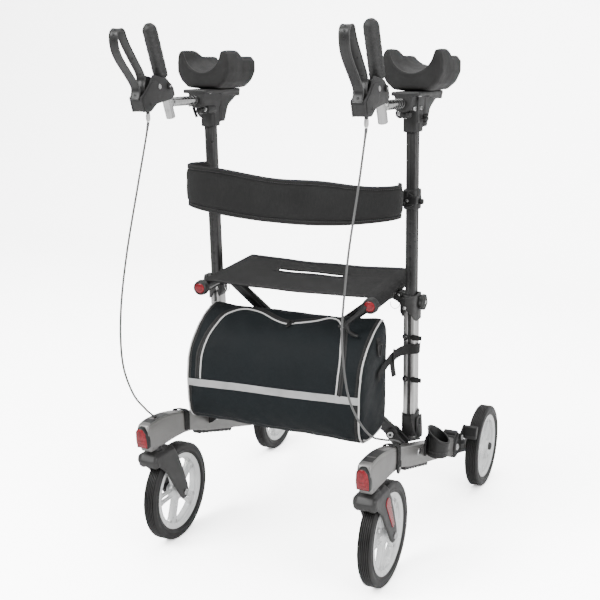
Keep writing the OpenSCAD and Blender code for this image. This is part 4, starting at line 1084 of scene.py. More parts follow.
def handle(name, side):
    body = f"{name}_handle"
    s = Shell()
    s.lathe([(7.9, 1.0), (8.6, 0.2), (9.2, 0.4), (9.5, 1.4), (9.5, 187), (7.9, 187), (7.9, 18), (0.01, 18),
            (0.01, 12), (7.9, 12)], HANDLE, 0, 56, closed=True)
    s.lathe([(0.01, 0.6), (8.4, 0.6), (9.5, 1.6), (9.5, 214), (8.6, 215.6), (0.01, 215.6)],
            facing("y", (230, -238, 954)), 0, 56)
    s.lathe([(9.4, 0), (10.8, 0.8), (11.2, 2.2), (10.6, 3.6), (9.4, 4.4)], facing("y", (230, -228.5, 954)),
            0, 48, closed=True)
    for y in range(-200, -130, 12):
        s.lathe([(9.45, 0), (9.62, 0.25), (9.62, 0.75), (9.45, 1)], facing("y", (230, y, 954)), 0, 48,
                closed=True)
    make(f"{name}_chrome_handle", s, M["chrome"], body, side, [f"{name}_handle_tube"], crisp=40)

    s = Shell()
    line = fillet(HOUSING, 3, 4)
    for a, b in ((216.2, 219.4), (240.6, 243.8)):
        s.plate(line, a, b, "x", edge=1.1, steps=3)
    inner = [(-351, 966, 1), (-342, 939.6, 2), (-317, 939.6, 2), (-296, 953.6, 12), (-246, 960.6, 4),
            (-231, 968, 3), (-237, 983, 6), (-259, 1000, 4), (-276, 1002, 2),
             (-276, 969, 3), (-297, 959, 3), (-316, 945.5, 2), (-338, 945.5, 3), (-349, 967, 1)]
    s.plate(fillet(inner, 2, 3), 219.2, 240.8, "x", edge=0.6)
    cheek = [(-312, 996, 5), (-296, 998, 6), (-282, 980, 24), (-284, 966, 10), (-298, 955, 8),
            (-316, 942.5, 4), (-340, 942.5, 4), (-346, 966, 6), (-328, 980, 10)]
    for a, b in ((214.8, 216.6), (243.4, 245.2)):
        s.plate(fillet(cheek, 4, 5), a, b, "x", edge=0.8)
    for x, ax in ((245, "x"), (215, "-x")):
        s.rod(3.6, 1.2, facing(ax, (x, *LEVER_PIN)), 0, edge=0.7, seg=28)
    s.rod(3, 29, facing("x", (215.5, *LEVER_PIN)), 2)
    for x, ax in ((243.6, "x"), (216.4, "-x")):
        s.rod(6.8, 1.0, facing(ax, (x, -288, 986)), 0, edge=0.5, seg=32)
        s.rod(5.2, 3.4, facing(ax, (x, -288, 986)), 2, edge=1.0, seg=6)
        s.rod(6.4, 4.2, facing(ax, (x, -253, 986)), 1, edge=1.4, seg=32)
        s.rod(2.6, 4.6, facing(ax, (x, -253, 986)), 2, edge=0.5, seg=6)
    s.rod(4.6, 5, facing("-y", (230, -338, 951)), 1, edge=1.6)
    s.rod(4.2, 12, move(230, CABLE_Y, 933.5), 1, seg=6, edge=0.6)
    ferrule = [(0.01, 0), (2.6, 0), (3.4, 0.8), (3.8, 3), (4.4, 3.6), (4.4, 13), (3.8, 13.6), (3.8, 15.5),
            (0.01, 15.5)]
    s.lathe(ferrule, move(230, CABLE_Y, 919.2), 3, 32)
    for z in (923.5, 925.5, 927.5, 929.5):
        s.lathe([(4.3, 0), (4.75, 0.3), (4.75, 0.7), (4.3, 1)], move(230, CABLE_Y, z), 3, 32, closed=True)
    make(f"{name}_lever_bracket", s, [M["cast_grey"], M["black_plastic"], M["steel"], M["white_plastic"]],
            body, side, [f"{name}_brake_housing"], crisp=32)

    # Wrapped grip: each turn of the strip overlaps the last, with short stitch marks along the seam
    rings = []
    steps, sides = 70, 72
    for i in range(steps + 1):
        z = 90 + 105 * i / steps
        ring = []
        for k in range(sides):
            a = 2 * pi * k / sides
            u = ((z - 90) / 19 + k / sides) % 1
            r = 14.0 + 0.9 * u ** 0.7 * (1 - max(0, (u - 0.93) / 0.07) ** 2)
            r -= 0.5 * bell(u, 0.62, 0.05) * (0.5 + 0.5 * sin(9 * a)) ** 2
            over = max(0, (z - 180) / 15)
            r = min(r, 14.9) * (1 if z < 180 else math.sqrt(max(0.02, 1 - 0.93 * over ** 2.4)))
            foot = max(0, (94 - z) / 4)
            ring.append((r * (1 - 0.1 * foot ** 2) * cos(a), r * (1 - 0.1 * foot ** 2) * sin(a), z))
        rings.append(ring)
    s = Shell().loft(rings, 0, HANDLE)
    s.lathe([(0.01, 1.6), (5, 1.2), (7.5, 0.2), (8.0, -1.4), (0.01, -1.4)], HANDLE @ move(0, 0, 194.2), 1,
            40)
    s.lathe([(9.6, 0), (13.2, 0), (14.2, 1), (14.2, 3.4), (13.4, 4.2), (9.6, 4.2)],
            HANDLE @ move(0, 0, 87.4), 1, 48, closed=True)
    make(f"{name}_wrapped_grip", s, [M["grip"], M["black_plastic"]], body, side, [f"{name}_grip"],
            crisp=55)

    s = Shell()
    band = spline([(230, y, z) for y, z in LEVER], 7)
    section = [(-10, -1.1), (-9.4, -1.5), (-7.6, -1.5), (-6.8, -0.8), (6.8, -0.8), (7.6, -1.5), (9.4, -1.5),
            (10, -1.1), (10, 1.1), (9.4, 1.5), (7.6, 1.5),
               (6.8, 1.0), (-6.8, 1.0), (-7.6, 1.5), (-9.4, 1.5), (-10, 1.1)]
    s.ribbon(band, (1, 0, 0), section, 0)
    s.plate(fillet([(-354, 963.5, 1), (-351.5, 968, 1), (-330, 962, 2), (-316, 959, 3), (-312, 953, 5),
            (-318, 947, 5), (-326, 950, 3)], 2), 220.2, 239.8, "x", [circle(*LEVER_PIN, 3.1, 18)], 0,
            edge=1.0)
    marks = [(0.36, 2.0), (0.40, 2.4), (0.44, 1.6), (0.70, 1.7), (0.78, 1.7), (0.03, 2.6), (0.975, 2.2)]
    n = len(band) - 1
    for share, r in marks:
        i = int(share * n)
        t = (band[min(i + 1, n)] - band[i - 1]).normalized()
        out = t.cross(Vector((1, 0, 0))).normalized()
        frame_at = Matrix.Translation(band[i]) @ out.to_track_quat("Z", "X").to_matrix().to_4x4()
        s.lathe([(0.01, 1.35), (r * 0.5, 1.35), (r * 0.55, 1.75), (r, 1.6), (r + 0.3, 0.9), (r + 0.3, -0.9),
                (r, -1.6), (r * 0.55, -1.75), (r * 0.5, -1.35), (0.01, -1.35)],
                frame_at, 1, 20)
    make(f"{name}_loop_lever", s, [M["dark_steel"], M["black_plastic"]], f"{name}_lever", side,
            [f"{name}_brake_lever"], crisp=36)

    s = Shell()
    wing = lambda a: 1 + 0.14 * cos(6 * a)
    s.lathe([(0.01, 0), (6, 0.2), (9.6, 1.4), (11.2, 4.4), (11.2, 9), (9.8, 12.6), (6, 14.2), (0.01, 14.4)],
            move(230, -108, 925.2), 0, 72, wave=wing)
    s.rod(4, 6, move(230, -108, 937), 1)
    s.rod(3.4, 1.6, facing("-z", (230, -108, 925.8)), 1, edge=0.7)
    make(f"{name}_reach_handwheel", s, [M["black_plastic"], M["steel"]], f"{name}_reach_knob", side,
            [f"{name}_reach_knob"], crisp=50)


# ---------- seat and cross brace ----------

def seat_and_brace():
    for d, name, body, y in ((1, "bar_a", "brace_a", -98), (-1, "bar_b", "brace_b", -82)):
        foot, head = Vector((-d * BAR_FOOT_X, HINGE_Z)), Vector((d * 194, SEAT_AT_BRACE))
        u = (head - foot).normalized()
        n = Vector((-u.y, u.x))
        corners = [foot + n * 11 - u * 2, foot - n * 11 - u * 2, head - n * 11 - u * 4,
                head + n * 11 - u * 4]
        outline = hull(circle(foot.x, foot.y, 12.6, 40) + [tuple(c) for c in corners])
        s = Shell()
        s.plate(outline, y + 0.3, y + 13.7, "y", [circle(foot.x, foot.y, 4.3, 24)], 0, edge=2.4, steps=4)
        for yy in (y + 0.1, y + 13.9):
            for w in (-5, 5):
                a, b = foot + u * 26 + n * w, head - u * 30 + n * w
                s.ribbon([(a.x, yy, a.y), (b.x, yy, b.y)], (n.x, 0, n.y),
                        [(-1.3, -0.5), (-1.3, 0.5), (1.3, 0.5), (1.3, -0.5)], 0)
        saddle = [(head.x + 15.6 * cos(a), head.y + 15.6 * sin(a)) for a in np.linspace(pi, 2 * pi, 25)]
        s.plate(saddle, y, y + 14, "y", edge=1.6)
        for w in (-8, 8):
            s.rod(2.6, 1.2, facing("-y", (head.x + w, y + 0.2, head.y - 7)), 1, edge=0.5, seg=20)
        if d > 0:
            s.rod(5, 22, facing("y", (0, y - 0.5, CROSS_Z)), 1)
            s.rod(8.5, 3.6, facing("-y", (0, y + 0.2, CROSS_Z)), 1, edge=1.4)
            s.rod(9, 4, facing("y", (0, -67, CROSS_Z)), 1, seg=6, edge=0.8)
        make(f"brace_{name}", s, [M["black_tube"], M["steel"]], body, 1, [f"cross_{name}"],
                crisp=36)

    for side, name, body in ((1, "right", "brace_a"), (-1, "left", "brace_b")):
        s = Shell()
        s.lathe([(9.4, 0), (10.4, 0), (11, 0.6), (11, 233.4), (10.4, 234), (0.01, 234), (0.01, 230),
                (9.4, 230)], SEAT_R @ facing("y", (0, 8, 0)), 0, 48, closed=True)
        make(f"{name}_sling_tube", s, M["black_tube"], body, side, [f"{name}_seat_tube"])
        s = Shell()
        cap = SEAT_R @ facing("-y", (0, 7.8, 0))
        s.lathe([(0.01, 0), (14, 0), (15.6, 0.8), (16, 2.4), (16, 12.6), (15.2, 15.4), (13.6, 16.9),
                (12.4, 16.6), (11.9, 15.2), (0.01, 15.0)], cap, 0, 56)
        s.lathe([(16.0, 3.4), (16.5, 4), (16.5, 5), (16.0, 5.6)], cap, 0, 56, closed=True)
        if side > 0:
            arm = spline([(186, -193.5, 565), (178, -193.5, 553), (162, -193.5, 538), (148, -193.5, 525),
                    (143, -193.5, 516)], 5)
            s.tube(arm, [5.5 - 1.6 * i / (len(arm) - 1) for i in range(len(arm))], 0, 14)
            finger = spline([(146, -193.5, 522), (149, -193.5, 511), (156, -193.5, 505),
                    (164, -193.5, 501.5), (170, -193.5, 501)], 5)
            s.tube(finger, [4.2 - 1.0 * i / (len(finger) - 1) for i in range(len(finger))], 0, 14)
            stub = spline([(150, -193.5, 524), (141, -193.5, 519), (129, -193.5, 516)], 4)
            s.tube(stub, [4.4 - 1.2 * i / (len(stub) - 1) for i in range(len(stub))], 0, 14)
            s.rod(3, 7.6, facing("y", (146, -197.3, 519.5)), 0, edge=1.5)
        make(f"{name}_seat_end", s, M["black_plastic"], body, side, [f"{name}_seat_cap"],
                crisp=42)
        lens = [(11.6 * cos(a) * (1.06 if cos(a) > 0 else 0.98), 11.2 * sin(a)) for a in np.linspace(0,
                2 * pi, 40, endpoint=False)]
        s = Shell().dome(lens, 3.2, 0, cap @ move(0, 0, 14.4), steps=6, foot=0.6)
        make(f"{name}_seat_lens", s, M["reflector"], body, side, crisp=60)


def sling_line():
    """Section of the sling, x and z above the tubes' axis: round a tube, across with a sag, round the other."""
    r = 13.0
    arc = [(194 + r * cos(a), r * sin(a)) for a in np.linspace(radians(-100), radians(88), 15)]
    half = [(x, 13.0 - 5.5 * (1 - (x / 190) ** 2)) for x in np.linspace(184, 0, 26)]
    right = arc + half
    return right + [(-x, z) for x, z in right[-2::-1]]


def seat_sling():
    line = sling_line()
    rows = [10 + 226 * k / 60 for k in range(61)]
    grid = []
    for j, y in enumerate(rows):
        row = []
        for x, z in line:
            mid = max(0, 1 - (x / 186) ** 2) if abs(x) < 186 else 0
            dip = (3.2 * mid * sin(pi * j / 60) + 1.1 * mid * sin(x * 0.045 + y * 0.03) * sin(y * 0.05)
                   - 1.6 * mid * bell(y, 12, 14))
            row.append((x, y, z - dip))
        grid.append(row)
    s = Shell()
    n = len(line)
    faces = []
    for j in range(60):
        for i in range(n - 1):
            x, z = (line[i][0] + line[i + 1][0]) / 2, (line[i][1] + line[i + 1][1]) / 2
            y = (rows[j] + rows[j + 1]) / 2
            hand_slot = 155 < y < 166 and -88 < x < 66
            brace_gap = 84 < y < 126 and z < 1.5 and abs(x) > 170
            if not (hand_slot or brace_gap):
                faces.append((j * n + i, j * n + i + 1, (j + 1) * n + i + 1, (j + 1) * n + i))
    at = move(0, -186, 564) @ turned("X", 4.3)
    s.add([p for row in grid for p in row], faces, 0, at)
    obj = make("sling_cloth", s, M["seat_fabric"], None, 1)
    tree = tree_of(obj)
    solid = obj.modifiers.new("thick", "SOLIDIFY")
    solid.thickness, solid.offset = 1.6 * MM, 0
    apply_modifiers(obj)
    obj.data.shade_smooth()
    obj.data.set_sharp_from_angle(angle=radians(50))
    up = Vector((0, 0, 1))
    seams = Shell()
    across = lambda y, a=-176, b=176, k=60: [at @ Vector((x, y, 13)) for x in np.linspace(a, b, k)]
    along = lambda x, a=14, b=232, k=40: [at @ Vector((x, y, 13)) for y in np.linspace(a, b, k)]
    for y in (16.5, 229.5):
        surface_strip(seams, tree, across(y), 11, 0, 1.0, 0.9, 0, up)
        for d in (-4.2, 4.2):
            stitches(seams, tree, across(y + d, k=80), 1.9, 1, up)
    for y in (149.5, 171.5):
        surface_strip(seams, tree, across(y, -100, 78, 40), 6.5, 0, 1.0, 0.9, 0, up)
        stitches(seams, tree, across(y, -174, 174, 80), 1.9, 1, up)
    for x in (-91.5, 69.5):
        surface_strip(seams, tree, [at @ Vector((x, y, 13)) for y in np.linspace(147, 174, 8)], 6.5, 0, 1.0,
                0.9, 0, up)
    for x in (-176, -172, 172, 176):
        stitches(seams, tree, along(x, k=60), 1.5, 1, up)
    trim = make("sling_seams", seams, [M["webbing"], M["thread"]], None, 1, crisp=45)
    flat = sum((Vector(line[i]) - Vector(line[i - 1])).length for i in range(1, n)) * MM
    for piece in (obj, trim):
        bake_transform(piece)
    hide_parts("seat_sling")


# ---------- soft goods helpers ----------

def surface_strip(shell, tree, path, width, offset, lift, thick, mat, up=None):
    """Flat strip laid on a surface along a path, offset sideways, with its edges on the surface too."""
    spots = []
    for p in path:
        q, n, _, _ = tree.find_nearest(Vector(p))
        spots.append((q, -n if up is not None and n.dot(up) < 0 else n))
    rings = []
    for i, (q, n) in enumerate(spots):
        t = (spots[min(i + 1, len(spots) - 1)][0] - spots[max(i - 1, 0)][0]).normalized()
        across = n.cross(t).normalized()
        ends = []
        for w in (offset - width / 2, offset + width / 2):
            e, m, _, _ = tree.find_nearest(q + across * w)
            ends.append(e + (m if m.dot(n) > 0 else -m) * lift)
        a, b = ends
        mid = (a + b) / 2 + n * thick * 0.35
        rings.append([a - n * 0.4, a + n * thick * 0.55, (a + mid) / 2 + n * thick * 0.5,
                mid + n * thick * 0.4, (b + mid) / 2 + n * thick * 0.5, b + n * thick * 0.55, b - n * 0.4,
                      mid - n * (0.4 + thick * 0.3)])
    return shell.loft(rings, mat)


def stitches(shell, tree, path, length, mat, up=None, radius=0.33, pitch=None):
    """Row of thread stitches on a surface along a path."""
    pts = [Vector(p) for p in path]
    pitch = pitch or length * 1.7
    gone, nxt = 0.0, 0.0
    for i in range(1, len(pts)):
        seg = (pts[i] - pts[i - 1]).length
        t = (pts[i] - pts[i - 1]).normalized()
        while nxt <= gone + seg:
            q, n, _, _ = tree.find_nearest(pts[i - 1] + t * (nxt - gone))
            if up is not None and n.dot(up) < 0:
                n = -n
            w = n.cross(t).normalized() * radius
            base = q + n * 0.62
            ring = lambda s: [base + t * s * length / 2 + w, base + t * s * length / 2 + n * radius,
                    base + t * s * length / 2 - w, base + t * s * length / 2 - n * radius * 2.4]
            shell.loft([ring(-1), ring(1)], mat)
            nxt += pitch
        gone += seg
    return shell


def puff(obj, pressure, frames, cap, pinned, tension=18):
    """Inflates a closed shell with the cloth solver. pinned(point) from 0 to 1 holds points at their seams,
    and no point moves further than cap."""
    rest = np.array([v.co for v in obj.data.vertices])
    group = obj.vertex_groups.new(name="seams")
    for v in obj.data.vertices:
        w = pinned(v.co / MM)
        if w > 0.02:
            group.add([v.index], min(1.0, w), "REPLACE")
    mod = obj.modifiers.new("cloth", "CLOTH")
    cs = mod.settings
    cs.quality, cs.mass, cs.vertex_group_mass = 6, 0.15, "seams"
    cs.tension_stiffness = cs.compression_stiffness = tension
    cs.shear_stiffness, cs.bending_stiffness = tension * 0.5, 0.6
    cs.use_pressure, cs.uniform_pressure_force = True, pressure
    cs.effector_weights.gravity = 0
    cs.air_damping = 3
    mod.collision_settings.use_collision = False
    mod.point_cache.frame_start, mod.point_cache.frame_end = 1, frames + 1
    scene = bpy.context.scene
    for f in range(1, frames + 1):
        scene.frame_set(f)
    apply_modifiers(obj)
    scene.frame_set(1)
    now = np.array([v.co for v in obj.data.vertices])
    step = now - rest
    far = np.linalg.norm(step, axis=1, keepdims=True)
    now = rest + step * np.minimum(1, cap * MM / np.maximum(far, 1e-9))
    obj.data.vertices.foreach_set("co", now.astype(np.float32).ravel())
    obj.data.update()


def ripple(p, seed):
    """Smooth noise from a few sine waves."""
    x, y, z = p[0] * 0.001, p[1] * 0.001, p[2] * 0.001
    return (sin(31 * x + 17 * z + seed) * sin(23 * y - 29 * z + 1.7 * seed)
            + 0.6 * sin(67 * x - 41 * z + 2.3 * seed) * sin(53 * y + 37 * x)
            + 0.35 * sin(113 * x + 91 * z) * sin(97 * y - 83 * z + seed))


def tree_of(obj):
    """Search tree of a mesh, in millimetres."""
    return BVHTree.FromPolygons([Vector(v.co) / MM for v in obj.data.vertices],
            [tuple(p.vertices) for p in obj.data.polygons])


# ---------- backrest band ----------

BOW = [(219.5, -92), (221, -108), (228, -124), (234, -141), (232, -160), (218, -179), (186, -192),
        (130, -199.5), (60, -202), (0, -202.5)]
BAND_LOW = [(-260, 739), (-158, 727), (-50, 718), (60, 716), (147, 721), (260, 736)]
BAND_HIGH = [(-260, 826), (-136, 824), (-71, 815), (0, 807), (77, 809), (130, 806), (173, 800), (260, 802)]


def band_path(k):
    """Evenly spaced points and outward directions along the bowed band, seen from above."""
    line = spline([(-x, y, 0) for x, y in BOW] + [(x, y, 0) for x, y in BOW[-2::-1]], 14)
    length = np.concatenate([[0], np.cumsum([(b - a).length for a, b in zip(line, line[1:])])])
    want = np.linspace(0, length[-1], k + 1)
    xs, ys = (np.interp(want, length, [p[i] for p in line]) for i in (0, 1))
    pts = [Vector((x, y, 0)) for x, y in zip(xs, ys)]
    out = []
    for i in range(k + 1):
        t = (pts[min(i + 1, k)] - pts[max(i - 1, 0)]).normalized()
        out.append(Vector((t.y, -t.x, 0)))
    return pts, out, length[-1]


def soft_profile(table, x):
    """Table value at x, averaged over its neighbourhood so that no corner shows."""
    return float(np.mean(np.interp([x + d for d in range(-36, 37, 6)], [q[0] for q in table],
            [q[1] for q in table])))


def backrest():
    k = 150
    pts, normals, total = band_path(k)
    heights = [0, 0.012, 0.03, 0.06, 0.09, 0.108, 0.118, 0.13, 0.15, 0.20, 0.28, 0.38, 0.5, 0.62, 0.72, 0.80,
            0.85, 0.87, 0.882, 0.892, 0.91, 0.94, 0.97, 0.988, 1]

    def swell(h, s):
        e = min(h, 1 - h)
        if e < 0.03:
            t = 3.0 * math.sqrt(max(0, 1 - ((0.03 - e) / 0.03) ** 2))
        elif e < 0.105:
            t = 3.0 + 0.5 * sin(pi * (e - 0.03) / 0.075)
        elif e < 0.13:
            t = 3.0 - 1.5 * sin(pi * (e - 0.105) / 0.025)
        else:
            t = 3.0 + 3.0 * math.sqrt(min(1, (e - 0.13) / 0.12))
        end = min(1, (1 - abs(s)) / 0.05)
        return max(0.05, t * (0.45 + 0.55 * math.sqrt(max(0, end))))

    def edges(s):
        x = pts[min(k, max(0, round((s + 1) / 2 * k)))].x
        from_end = min(20.0, (1 - abs(s)) * total / 2)
        cut = 20 - math.sqrt(max(0, 400 - (20 - from_end) ** 2))
        return soft_profile(BAND_LOW, x) + 0.8 + cut, soft_profile(BAND_HIGH, x) - 0.8 - cut

    rings = []
    for i in range(k + 1):
        s = 2 * i / k - 1
        lo, hi = edges(s)
        ring = []
        for face in (1, -1):
            for h in heights if face > 0 else heights[-2:0:-1]:
                t = swell(h, s)
                p = pts[i] + normals[i] * face * t
                wrinkle = 0.5 * ripple((p.x * 2.2, p.y * 2, 900 * h), 2.0) * min(1,
                        min(h, 1 - h) * 5) * (0.4 + 0.9 * abs(s) ** 3)
                q = pts[i] + normals[i] * face * max(0.05, t + wrinkle * face)
                ring.append((q.x, q.y, lo + (hi - lo) * h))
        rings.append(ring)
    s = Shell().loft(rings)
    n = len(rings[0])
    for fi in range(len(s.m) - 2):
        j = fi % n
        h = heights[j] if j < len(heights) else heights[::-1][j - len(heights) + 1]
        if h < 0.1 or h > 0.89:
            s.m[fi] = 1
    obj = make("backrest_pad", s, [M["band_fabric"], M["webbing"]], None, 1, crisp=60)
    tree = tree_of(obj)
    seams = Shell()
    for h in (0.022, 0.098, 0.902, 0.978):
        for face in (1, -1):
            line = []
            for i in range(2, k - 1):
                lo, hi = edges(2 * i / k - 1)
                p = pts[i] + normals[i] * face * 5
                line.append((p.x, p.y, lo + (hi - lo) * h))
            stitches(seams, tree, line, 2.1, 0, radius=0.3, pitch=4.2)
    trim = make("backrest_stitching", seams, M["thread"], None, 1)
    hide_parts("backrest_band")
    for piece in (obj, trim):
        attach(piece, "left_upper_frame")
        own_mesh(piece)


# ---------- bag ----------

BAG_LINE = [(-126, 521), (-158, 512.5), (-185, 496), (-211, 477), (-235, 446), (-247.5, 400), (-248.5, 345),
        (-245, 313), (-234, 294.5), (-214, 286), (-150, 284),
            (-124, 288), (-115, 303), (-113.5, 400), (-115, 500)]
POCKET = [(-164, -252, 384), (-164, -247, 428), (-158, -214, 477), (-141, -170, 508), (-110, -148, 519),
        (-70, -152, 517), (-30, -167, 509), (0, -173, 505), (28, -170, 508),
          (60, -160, 513), (88, -147, 518), (112, -153, 516), (130, -182, 499), (146, -226, 460), (149, -248,
                  424), (147, -252, 390)]


def bag():
    line = [tuple(p) for p in spline(BAG_LINE, 6, closed=True)]
    cy = sum(p[0] for p in line) / len(line)
    cz = sum(p[1] for p in line) / len(line)
    rings = []
    for x, k in ((-203, 0.2), (-203, 0.6), (-202.5, 0.86), (-200.5, 0.955), (-195, 0.99), (-188, 1.0)):
        rings.append([(x, cy + (y - cy) * k, cz + (z - cz) * k) for y, z in line])
    middle = [[(x, y, z) for y, z in line] for x in np.linspace(-176, 176, 30)]
    shell = Shell().loft(rings + middle + [[(-x, y, z) for x, y, z in r] for r in rings[::-1]])
    obj = make("cargo_bag", shell, M["bag_fabric"], None, 1, voxel=6.5, melt=2)

    def seam(p):
        side = bell(abs(p.x), 196, 5.5)
        base = bell(p.z, 286, 7) * 0.7
        band = bell(p.z, 377, 9) * (0.75 if p.y < -225 else 0)
        return max(side, base, band, 1.0 if p.y > -122 else 0.0)

    puff(obj, 2.2, 18, 7, seam)
    co = [v.co.copy() for v in obj.data.vertices]
    normals = [v.normal.copy() for v in obj.data.vertices]
    for v, c, n in zip(obj.data.vertices, co, normals):
        p = c / MM
        free = 1 - min(1, seam(p))
        sag = -5.0 * bell(p.z, 508, 26) * bell(p.x, -20, 120) if p.y < -118 else 0
        fold = (1.9 * ripple((p.x, p.y * 1.3, p.z), 0.4)
                + 1.3 * bell(p.z + 0.25 * abs(p.x), 470, 16) * sin(p.x * 0.06))
        gather = 2.2 * bell(abs(p.x), 182, 12) * sin(p.z * 0.11 + p.x) * (1 if p.y < -130 else 0)
        side = -3.2 * bell(p.z, 400, 60) * bell(p.y, -170, 40) if abs(p.x) > 199 else 0
        v.co = c + n * MM * (fold * (0.25 + 0.75 * free) + gather * free + side + sag * free)
        if p.y > -135:
            v.co.y += 0.008 * min(1, max(0, (abs(p.x) - 150) / 30)) * min(1, (p.y + 135) / 15) * min(1,
                    max(0, (p.z - 292) / 20))
    sub = obj.modifiers.new("sub", "SUBSURF")
    sub.levels = sub.render_levels = 1
    apply_modifiers(obj)
    obj.data.shade_smooth()
    tree = tree_of(obj)

    def on_bag(path, n=5, lift=0.8):
        out = []
        for p in spline(path, n):
            q, m, _, _ = tree.find_nearest(p)
            out.append(q + m * lift)
        return out

    trim = Shell()
    edge = sorted([q for q in line if q[0] < -120], key=lambda q: math.atan2(q[1] - 400, -(q[0] + 170)),
            reverse=True)
    for s in (1, -1):
        path = [(s * 196.5, y, z) for y, z in edge]
        trim.tube(on_bag(path, 2, 1.0), 1.75, 0, 10)
        trim.tube(on_bag([(s * 203, -232, 296), (s * 204, -205, 288), (s * 203.5, -160, 285),
                (s * 203, -128, 289)], 6, 0.6), 1.5, 0, 10)
        surface_strip(trim, tree, [(s * 190.5, y, z) for y, z in edge], 7, 0, 0.3, 0.8, 1)
        stitches(trim, tree, [(s * 188.6, y, z) for y, z in edge], 2.0, 2, radius=0.28, pitch=4.4)
    trim.tube(on_bag(POCKET, 6, 1.1), 1.75, 0, 10)
    arch = spline(POCKET, 6)
    surface_strip(trim, tree, arch, 9, 8.4, 0.5, 1.1, 3)
    surface_strip(trim, tree, arch, 1.4, 8.4, 1.5, 0.9, 1)
    stitches(trim, tree, arch, 2.0, 2, radius=0.28, pitch=4.4)
    band = [(-197, -249, 372.5), (-120, -253, 375.5), (0, -253, 378), (120, -253, 381.5), (197, -249, 384)]
    surface_strip(trim, tree, spline(band, 12), 15.5, 0, 0.7, 0.9, 4)
    for d in (-6.4, 6.4):
        stitches(trim, tree, [(x, y, z + d) for x, y, z in spline(band, 12)], 1.8, 2, radius=0.3, pitch=3.8)
    hem = spline([(-196, -248, 294), (0, -250, 293), (196, -248, 294)], 20)
    stitches(trim, tree, hem, 2.0, 2, radius=0.26, pitch=4.4)
    trims = make("cargo_bag_trim", trim, [M["piping"], M["webbing"], M["thread"], M["zip"], M["reflective"]],
            None, 1, crisp=50)

    bits = Shell()
    for s, lean in ((-1, 0.5), (1, -0.4)):
        q, n, _, _ = tree.find_nearest(Vector((11 + 5 * s, -170, 507)))
        at = Matrix.Translation(q + n * 2.4) @ n.to_track_quat("Z", "Y").to_matrix().to_4x4()
        bits.plate(fillet([(-3.6, -3.4, 1.2), (3.6, -3.4, 1.2), (3.0, 3.4, 1.2), (-3.0, 3.4, 1.2)], 1), 0,
                3.4, "z", (), 0, at, edge=0.8)
        bits.plate(fillet([(-2.6, -17, 2.2), (2.6, -17, 2.2), (2.0, -3, 1), (-2.0, -3, 1)], 1), 1.2, 3.0,
                "z", [slot_hole(0, -13.4, 4, 0.9, pi / 2, 4)], 0, at @ turned("Z", 25 * lean), edge=0.5)
    for s in (1, -1):
        q = tree.find_nearest(Vector((s * 204, -166, 474)))[0]
        surface_strip(bits, tree, spline([(s * 204, -164, 494), (s * 204, -166, 478), (s * 204, -167, 458)],
                5), 19, 0, 0.6, 1.6, 1)
        at = Matrix.Translation(q + Vector((s * 3.4, 0, 0))) @ Matrix.Rotation(radians(90), 4,
                "Z") @ Matrix.Rotation(radians(90), 4, "X")
        ring = [(-9, 8), (9, 8), (9.5, -2), (6, -11), (0, -14.5), (-6, -11), (-9.5, -2)]
        bits.tube([at @ Vector((u, w - 3, 0)) for u,
                w in [tuple(c) for c in spline(ring, 4, closed=True)] + [ring[0]]], 1.5, 0, 8)
        surface_strip(bits, tree, spline([(s * 204, -165, 484), (s * 204, -165.4, 478)], 5), 21, 0, 3.4, 1.4,
                1)
        for u in (-1, 1):
            stitches(bits, tree, [(s * 204, -166 + u * 7, z) for z in np.linspace(459, 472, 6)], 1.6, 3,
                    radius=0.3, pitch=2.8)
        stitches(bits, tree, spline([(s * 205, -133, 462), (s * 205, -150, 440), (s * 205, -122, 372),
                (s * 205, -118, 330)], 14), 2.0, 3, radius=0.28, pitch=4.4)
    parts = make("cargo_bag_fittings", bits, [M["black_plastic"], M["webbing"], M["steel"], M["thread"]],
            None, 1, crisp=45)
    for piece in (obj, trims, parts):
        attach(piece, "left_frame")
        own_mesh(piece)
    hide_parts("bag")


def bag_straps():
    """Webbing from the bag's ends to the posts."""
    section = [(-10.4, -0.7), (-10.4, 0.7), (10.4, 0.7), (10.4, -0.7)]
    for side, name in ((1, "right"), (-1, "left")):
        s = Shell()
        path = spline([(206.5, -172, 412), (207.5, -150, 422), (211, -122, 436), (220, -92, 446),
                (231, -72, 449), (241, -66, 449), (248, -60, 448.5), (250, -48, 448), (248, -38, 448)], 5)
        s.ribbon(path, (0, 0.06, 1), section, 0)
        s.ribbon(spline([(213, -112, 430), (214.5, -108, 411), (214, -100, 396)], 5), (0.2, 1, 0),
                [(-8, -0.7), (-8, 0.7), (8, 0.7), (8, -0.7)], 0)
        at = move(214.8, -106, 442) @ turned("Z", 108) @ turned("X", 90)
        s.plate(super_rect(17, 27, 3, 5), -1.6, 2.2, "z", [super_rect(4, 21, 1.2, 4)], 1, at, edge=0.9)
        make(f"{name}_bag_strap", s, [M["webbing"], M["black_plastic"]], f"{name}_frame", side,
                crisp=45)


# ---------- cup and cables ----------

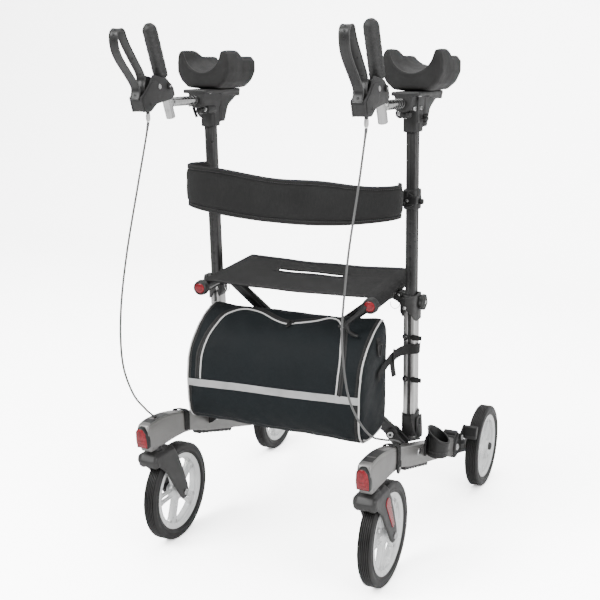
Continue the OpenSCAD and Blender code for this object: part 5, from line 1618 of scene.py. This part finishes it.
def stick_cup():
    at = move(287, -20, 204) @ turned("Y", 2.6)
    rim = lambda x: min(270.5, max(234.5, 268.5 - 0.6 * (x - 262)))
    seg = 72

    def ring(r, up=0.0, lower=None):
        """Ring of radius r at height lower, or else up above the cup's slanted rim."""
        out = []
        for x, y in circle(0, 0, r, seg):
            z = rim((at @ Vector((x, y, 0))).x) + up - 204 if lower is None else lower
            out.append(tuple(at @ Vector((x, y, z))))
        return out

    rings = [ring(0.1, lower=0), ring(19, lower=0), ring(21.8, lower=0.8), ring(22.8, lower=3),
            ring(23.4, lower=16), ring(23.8, -9), ring(24, -5), ring(25, -3.6), ring(25.2, -1.6),
             ring(24.2, -0.2), ring(22.6, 0), ring(21.4, -0.8), ring(21.05, -2.5), ring(21.05,
                     lower=9), ring(20.4, lower=5.6), ring(18.5, lower=4.1), ring(0.1, lower=4)]
    s = Shell().loft(rings, cap=False)
    s.plate(fillet([(-37, 203, 4), (-3, 203, 4), (-3, 233, 6), (-10, 246, 6), (-30, 246, 6), (-37, 233, 6)],
            4), 262.2, 266.4, "x", edge=1.2)
    for y in (-31, -13):
        s.plate(fillet([(262.3, 206, 1), (273, 206, 2), (273, 240, 4), (262.3, 244, 1)], 2), y, y + 4, "y",
                edge=1)
    s.lathe([(23.6, 0), (24.3, 0.7), (24.3, 2.3), (23.6, 3)], at @ move(0, 0, 12), 0, seg, closed=True)
    make("walking_stick_cup", s, M["black_plastic"], "right_frame", 1, ["cane_cup"],
            crisp=42)


RIGHT_CABLE = [(230, CABLE_Y, 918.2), (230, -320, 886), (230, -345, 813), (230, -384, 712), (230, -405, 627),
        (230, -413, 574), (230, -407, 518), (230, -383, 445),
               (230, -334, 381), (230, -267, 325), (233, -200, 294), (240, -166, 282), (245, -150,
                       274), (246, -143, 267.5)]
LEFT_CABLE = [(-230, CABLE_Y, 918.2), (-230, -322, 882), (-230, -357, 790), (-230, -398, 679),
        (-230, -424, 585), (-230, -433, 507), (-230, -426, 443), (-230, -397, 382),
              (-232, -357, 340), (-239, -326, 317), (-243, -312, 308), (-244, -305, 303.4)]


def cables():
    """Brake cables, each made in two pieces: an upper one and a lower one."""
    for name, route in (("right", RIGHT_CABLE), ("left", LEFT_CABLE)):
        path = spline(route, 8)
        half = next(i for i, p in enumerate(path) if p.z < 700)
        for part, pts in (("upper", path[:half + 1]), ("lower", path[half:])):
            s = Shell().tube(pts, 2.1, 0, 14)
            if part == "upper":
                s.tube(path[:7], [2.9, 2.9, 2.8, 2.7, 2.5, 2.3, 2.15], 0, 14)
            else:
                s.tube(path[-5:], [2.2, 2.9, 3.2, 3.4, 3.4], 1, 14)
            obj = make(f"{name}_cable_{part}", s, [M["cable"], M["black_plastic"]], None, 1,
                    crisp=60)
            if part == "upper":
                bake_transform(obj)
            else:
                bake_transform(obj)
                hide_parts(f"{name}_brake_cable")


# ---------- assembly ----------

for side, name in ((1, "right"), (-1, "left")):
    wheel(f"{name}_front", FRONT_HUB, 108, 31, 84, f"{name}_front_wheel", side, 35,
            [f"{name}_front_tyre", f"{name}_front_rim"])
    wheel(f"{name}_rear", REAR_HUB, 100, 32, 77, f"{name}_rear_wheel", side, 36,
            [f"{name}_rear_tyre", f"{name}_rear_rim"])
    caster(name, side)
    rail(name, side)
    stay_and_bolts(name, side)
    posts(name, side)
    brake_arm(name, side)
    upper(name, side)
    forearm_pad(name, side)
    handle(name, side)
seat_and_brace()
seat_sling()
backrest()
bag()
bag_straps()
stick_cup()
cables()
